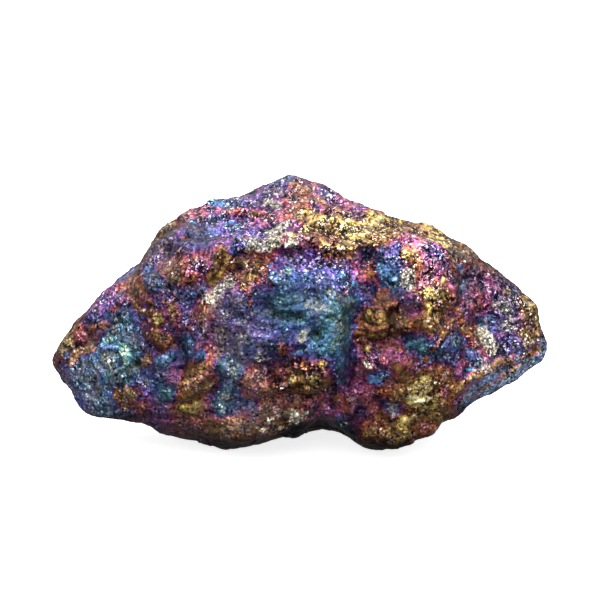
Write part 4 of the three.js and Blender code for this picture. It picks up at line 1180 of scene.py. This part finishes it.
def lightness(tree, settings, place, grains, flakes, glitter, painted_sparkle):
    """How light a spot is: grains and flakes of random lightness with grit, painted shade in their gaps,
    creases, wrinkles and holes, painted light on the grains' domes and on sparkles, and the mesh's own
    lightness with its painted light and shade.
    """
    contrast = by_glitter(tree, glitter, "contrast", settings.grain_contrast)
    flicker = multiply(tree, flakes.shade, by_glitter(tree, glitter, "flicker"))
    value = math_node(tree, "ADD", flicker, scaled(tree, grains.shade, contrast, 1.0))
    # painted shade in the gaps between grains and flakes, with painted light on each grain's dome
    gap_shade = multiply(tree, ranged(tree, grains.edge, "grain gap"), ranged(tree, flakes.edge, "flake gap"))
    gap_shade = multiply(tree, gap_shade, ranged(tree, grains.middle, "grain dome"))
    gap_share = by_glitter(tree, glitter, "gaps", clamp=True)
    gap_shade = add(tree, "ShaderNodeMix", {0: gap_share, 2: 1.0, 3: gap_shade}, data_type="FLOAT").outputs[0]
    # painted shade along wrinkles, and below along creases
    wrinkle_shade = ranged(tree, creased(tree, place, "wrinkles"), "wrinkles")
    grit = ranged(tree, pattern(tree, place, "grit"), "grit")
    # painted shade in small holes
    hole_shade = scattered(tree, vector_math(tree, "ADD", place, HOLES_APART), *HOLES, "hole_shade")
    for factor in (
        gap_shade,
        ranged(tree, creased(tree, place, "creases"), "creases"),
        scaled(tree, wrinkle_shade, by_glitter(tree, glitter, "wrinkles"), 1.0),
        scaled(tree, hole_shade, -HOLE_SHADE, 1.0),
        scaled(tree, painted_sparkle, PAINTED_SPARKLE_LIGHT, 1.0),
        scaled(tree, grit, by_glitter(tree, glitter, "grit"), 1.0),
        attribute(tree, "tone"),
    ):
        value = multiply(tree, value, factor)
    return value


def tilted_normal(tree, settings, place, grains, flakes, glitter):
    """The surface's direction, turned with each grain and roughened."""
    tilt = vector_math(tree, "SCALE", flakes.lean, scale=FLAKE_LEAN)
    tilt = vector_math(tree, "ADD", grains.lean, tilt)
    tilt = vector_math(tree, "SCALE", tilt, scale=by_glitter(tree, glitter, "lean", settings.grain_tilt))
    normal = add(tree, "ShaderNodeNewGeometry").outputs["Normal"]
    normal = vector_math(tree, "NORMALIZE", vector_math(tree, "ADD", normal, tilt))
    dome = multiply(tree, multiply(tree, grains.middle, grains.middle), by_glitter(tree, glitter, "hollow"))
    fine = multiply(tree, pattern(tree, place, "roughness"), by_glitter(tree, glitter, "fine"))
    height = math_node(tree, "ADD", dome, fine)
    inputs = {"Height": height, "Strength": 1.0, "Distance": BUMP_HEIGHT * MM, "Normal": normal}
    return add(tree, "ShaderNodeBump", inputs).outputs["Normal"]


def tarnish_material(settings):
    """Tarnished metal, grain by grain, with pale crusts on it."""
    material = bpy.data.materials.new("tarnished_ore")
    material.use_nodes = True
    tree = material.node_tree
    tree.nodes.clear()
    place = add(tree, "ShaderNodeTexCoord").outputs["Object"]
    place = vector_math(tree, "SCALE", place, scale=1 / MM)

    grains = grain_layer(tree, place, settings.sparkle_size, GRAIN_CROOKEDNESS)
    flakes = grain_layer(tree, place, settings.flake_size, FLAKE_CROOKEDNESS)
    patches = ranged(tree, pattern(tree, place, "patches"), "patches")
    glitter = multiply(tree, attribute(tree, "glitter"), patches)
    # pale painted sparkles, stronger where the stone glitters
    painted_sparkle = scattered(tree, place, *PAINTED_SPARKLES, "painted_sparkle")
    painted_sparkle = multiply(tree, painted_sparkle, by_glitter(tree, glitter, "painted_sparkle"))

    colour = film_colour(tree, settings, place, grains, flakes, glitter, painted_sparkle)
    crust, crust_colour = pale_crust(tree, place)
    colour = mix_colour(tree, multiply(tree, crust, CRUST_OPACITY), colour, crust_colour)
    light = lightness(tree, settings, place, grains, flakes, glitter, painted_sparkle)
    roughness = scaled(tree, grains.gleam, GRAIN_ROUGHNESS, ROUGHNESS)
    roughness = scaled(tree, glitter, GLITTER_ROUGHNESS, roughness)
    inputs = {
        "Base Color": darken(tree, colour, light),
        "Metallic": scaled(tree, crust, CRUST_METAL - METAL, METAL),
        "Roughness": scaled(tree, crust, CRUST_ROUGHNESS, roughness, clamp=True),
        "Normal": tilted_normal(tree, settings, place, grains, flakes, glitter),
        "Coat Weight": settings.gloss,
        "Coat Roughness": GLOSS_ROUGHNESS,
    }
    shader = add(tree, "ShaderNodeBsdfPrincipled", inputs)
    add(tree, "ShaderNodeOutputMaterial", {"Surface": shader.outputs[0]})
    return material


# --- Settings that a user would change
def length(name, description, millimetres):
    """A length that a user would change."""
    return FloatProperty(
        name=name, description=description, default=millimetres * MM, min=0.1 * MM, unit="LENGTH"
    )


def strength(name, description, default):
    """A strength or share that a user would change."""
    return FloatProperty(name=name, description=description, default=default, min=0)


class StoneSettings(bpy.types.PropertyGroup):
    mesh_step: length("Mesh step", "Size of the fine mesh's faces", 0.65)
    chip_size: length("Chip size", "Width of the flat chips", 4.2)
    chip_height: length("Chip height", "How far chips stand above each other", 0.45)
    lump_size: length("Lump size", "Width of the small lumps", 1.9)
    lump_height: length("Lump height", "How far the small lumps swell", 0.26)
    grain_size: length("Grain size", "Width of the grain in the mesh", 1.1)
    grain_height: length("Grain height", "Height of the grain in the mesh", 0.16)


class TarnishSettings(bpy.types.PropertyGroup):
    sparkle_size: length("Sparkle size", "Width of the crystal grains that glint", 0.85)
    flake_size: length("Flake size", "Width of the finest crystal faces", 0.5)
    mottle: strength("Mottling", "How far the film wanders within a patch", 0.42)
    grain_tint: strength("Grain tint", "How far the film differs from grain to grain", 0.05)
    grain_contrast: strength("Grain contrast", "Light and dark from grain to grain", 0.9)
    grain_tilt: strength("Grain tilt", "How far the grains' faces lean", 0.6)
    # painted glints: pale colour mixed into the brightest flakes
    glint: strength("Glints", "How pale the brightest grains are", 0.4)
    gloss: strength("Gloss", "Strength of the clear film's own shine", 0.08)


class StageSettings(bpy.types.PropertyGroup):
    lens: FloatProperty(name="Lens", description="Focal length of the camera in mm", default=100, min=20)
    floor_colour: FloatVectorProperty(
        name="Floor",
        description="Colour of the floor",
        subtype="COLOR",
        size=3,
        default=(0.9, 0.9, 0.9),
        min=0,
        max=1,
    )
    floor_glow: strength("Floor glow", "How far the floor is lit from below", 0.8)
    room_light: strength("Room light", "Strength of the even light all round", 0.65)
    overhead_light: strength("Overhead light", "Strength of the wide light overhead", 5.1)
    front_light: strength("Front light", "Strength of the wide light in front", 2.0)
    side_light: strength("Side light", "Strength of the light at the right", 0.3)


# --- The stone
CLEARANCE = 0.8  # how far above a face, in mm, it is asked whether the front eye sees it


def refine_front(stone):
    """Halves the faces that the front eye sees, where the fine relief goes."""
    mesh = stone.data
    tree = surface_tree(mesh)
    faces = np.zeros(len(mesh.polygons), dtype=bool)
    for index, face in enumerate(mesh.polygons):
        way = FRONT_EYE - face.center
        if face.normal.dot(way) > 0:
            clear = tree.ray_cast(face.center + face.normal * CLEARANCE * MM, way.normalized())[0]
            faces[index] = clear is None
    mesh.polygons.foreach_set("select", faces)
    only(stone)
    bpy.ops.object.mode_set(mode="EDIT")
    bpy.ops.mesh.select_mode(type="FACE")
    bpy.ops.mesh.subdivide(number_cuts=1, smoothness=0)
    bpy.ops.object.mode_set(mode="OBJECT")


def dress(mesh, settings):
    """Gives the fine mesh its relief, kept inside the node's box, and writes its tarnish."""
    points = vertex_vectors(mesh, "co") / MM
    tree = surface_tree(mesh)
    seen = sight_places(points)
    uneven = seen + stray(points, "features") * (1, 1, DEPTH_WEIGHT)
    shares = list(feature_distances(uneven, tree))
    character = surface_character(uneven, tree)
    normals = vertex_vectors(mesh, "normal")
    facing = np.abs(normals @ np.array(TOWARDS_EYE))
    calm = RIM_RELIEF + (1 - RIM_RELIEF) * rising(facing, 0, RIM_RELIEF_END)
    height, rough = broken_relief(points, shares, character[0], calm, settings)
    low, high = (np.array(corner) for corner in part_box(NODE))
    places = np.clip((points + height[:, None] * normals) * MM, low, high)
    mesh.vertices.foreach_set("co", places.ravel())
    mesh.update()
    paint(mesh, points, seen, tree, shares, character, rough, facing)


class ORE_OT_stone(bpy.types.Operator):
    """Builds the tarnished stone over the frame's solid"""

    bl_idname = "ore.stone"
    bl_label = "Tarnished stone"

    def execute(self, context):
        settings = context.scene.ore_stone
        stone = bpy.data.objects.new("tarnished_stone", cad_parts[NODE].data.copy())
        context.scene.collection.objects.link(stone)
        stone.data.materials.clear()
        only(stone)
        bpy.ops.object.mode_set(mode="EDIT")
        bpy.ops.mesh.select_all(action="SELECT")
        bpy.ops.mesh.remove_doubles(threshold=0.001 * MM)
        bpy.ops.object.mode_set(mode="OBJECT")
        apply_modifier(stone, "SUBSURF", levels=1, render_levels=1)
        apply_modifier(stone, "REMESH", mode="VOXEL", voxel_size=settings.mesh_step)
        apply_modifier(stone, "SMOOTH", factor=0.5, iterations=4)
        refine_front(stone)
        dress(stone.data, settings)
        stone.data.materials.append(tarnish_material(context.scene.ore_tarnish))
        only(stone)
        bpy.ops.object.shade_smooth()
        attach(stone, "root")
        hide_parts(NODE)
        return {"FINISHED"}


# --- The stage
FLOOR_SIZE = 6  # in metres
# The room's grey, from straight down at 0 to straight up at 1.
ROOM = [(0.3, 0.17), (0.5, 0.55), (0.8, 1)]
# Each light's way round from the front, height above level and width, in degrees.
LIGHTS = {"overhead": (0, 96, 80), "front": (-15, 52, 60), "side": (60, 35, 40)}
LIGHT_PLACE = (0, 0, 0.5)  # in metres, though such a light is the same from anywhere
AIM_RISE = 1.8  # how far above the stone's middle the camera looks, in mm
SENSOR_WIDTH = 36  # in mm
NEAREST_SEEN = 0.01  # in metres from the camera


def lay_floor(settings):
    """A pale floor that glows a little and doesn't show in reflections."""
    bpy.ops.object.select_all(action="DESELECT")
    bpy.ops.mesh.primitive_plane_add(size=FLOOR_SIZE)
    floor = bpy.context.object
    floor.name = "studio_floor"
    material = bpy.data.materials.new("studio_floor")
    material.use_nodes = True
    shader = material.node_tree.nodes["Principled BSDF"]
    shader.inputs["Base Color"].default_value = (*settings.floor_colour, 1)
    shader.inputs["Roughness"].default_value = 0.8
    shader.inputs["Emission Color"].default_value = (1, 1, 1, 1)
    shader.inputs["Emission Strength"].default_value = settings.floor_glow
    floor.data.materials.append(material)
    floor.visible_glossy = False


def light_room(scene, settings):
    """Even light all round, brighter from above, and three wide lights."""
    world = bpy.data.worlds.new("studio")
    scene.world = world
    world.use_nodes = True
    tree = world.node_tree
    way = add(tree, "ShaderNodeTexCoord").outputs["Generated"]
    up = add(tree, "ShaderNodeSeparateXYZ", {0: way}).outputs["Z"]
    stops = [(rise, (grey, grey, grey, 1)) for rise, grey in ROOM]
    background = tree.nodes["Background"]
    join(tree, background.inputs["Color"], ramp(tree, map_range(tree, up, (-1, 1), (0, 1)), stops))
    background.inputs["Strength"].default_value = settings.room_light
    for name, (azimuth, elevation, width) in LIGHTS.items():
        bpy.ops.object.light_add(type="SUN", location=LIGHT_PLACE)
        light = bpy.context.object
        light.name = name
        light.data.energy = getattr(settings, f"{name}_light")
        light.data.angle = np.radians(width)
        light.rotation_euler = (np.radians(90 - elevation), 0, np.radians(azimuth))


def place_camera(scene, settings):
    """The camera at the front eye, aimed a little above the stone's middle."""
    aim = STONE_MIDDLE + UP * AIM_RISE * MM
    bpy.ops.object.camera_add(location=aim + TOWARDS_EYE * EYE_DISTANCE)
    camera = bpy.context.object
    camera.rotation_euler = (-TOWARDS_EYE).to_track_quat("-Z", "Y").to_euler()
    camera.data.lens = settings.lens
    camera.data.sensor_width = SENSOR_WIDTH
    camera.data.clip_start = NEAREST_SEEN
    scene.camera = camera


class ORE_OT_stage(bpy.types.Operator):
    """Sets the floor, the lights and the camera"""

    bl_idname = "ore.stage"
    bl_label = "Studio"

    def execute(self, context):
        settings = context.scene.ore_stage
        lay_floor(settings)
        light_room(context.scene, settings)
        place_camera(context.scene, settings)
        context.scene.view_settings.view_transform = "Standard"
        return {"FINISHED"}


# --- The add-on
class ORE_PT_panel(bpy.types.Panel):
    bl_label = "Peacock Ore"
    bl_idname = "ORE_PT_panel"
    bl_space_type = "VIEW_3D"
    bl_region_type = "UI"
    bl_category = "Peacock Ore"

    def draw(self, context):
        for operator, group in (
            (ORE_OT_stone, context.scene.ore_stone),
            (None, context.scene.ore_tarnish),
            (ORE_OT_stage, context.scene.ore_stage),
        ):
            box = self.layout.box()
            for name in group.bl_rna.properties.keys():
                if name not in ("rna_type", "name"):
                    box.prop(group, name)
            if operator:
                box.operator(operator.bl_idname)


CLASSES = (StoneSettings, TarnishSettings, StageSettings, ORE_OT_stone, ORE_OT_stage, ORE_PT_panel)
GROUPS = {"ore_stone": StoneSettings, "ore_tarnish": TarnishSettings, "ore_stage": StageSettings}


def register():
    for cls in CLASSES:
        bpy.utils.register_class(cls)
    for name, group in GROUPS.items():
        setattr(bpy.types.Scene, name, PointerProperty(type=group))


def unregister():
    for name in GROUPS:
        delattr(bpy.types.Scene, name)
    for cls in reversed(CLASSES):
        bpy.utils.unregister_class(cls)


def main():
    register()
    bpy.ops.ore.stone()
    bpy.ops.ore.stage()


if __name__ == "__main__":
    main()
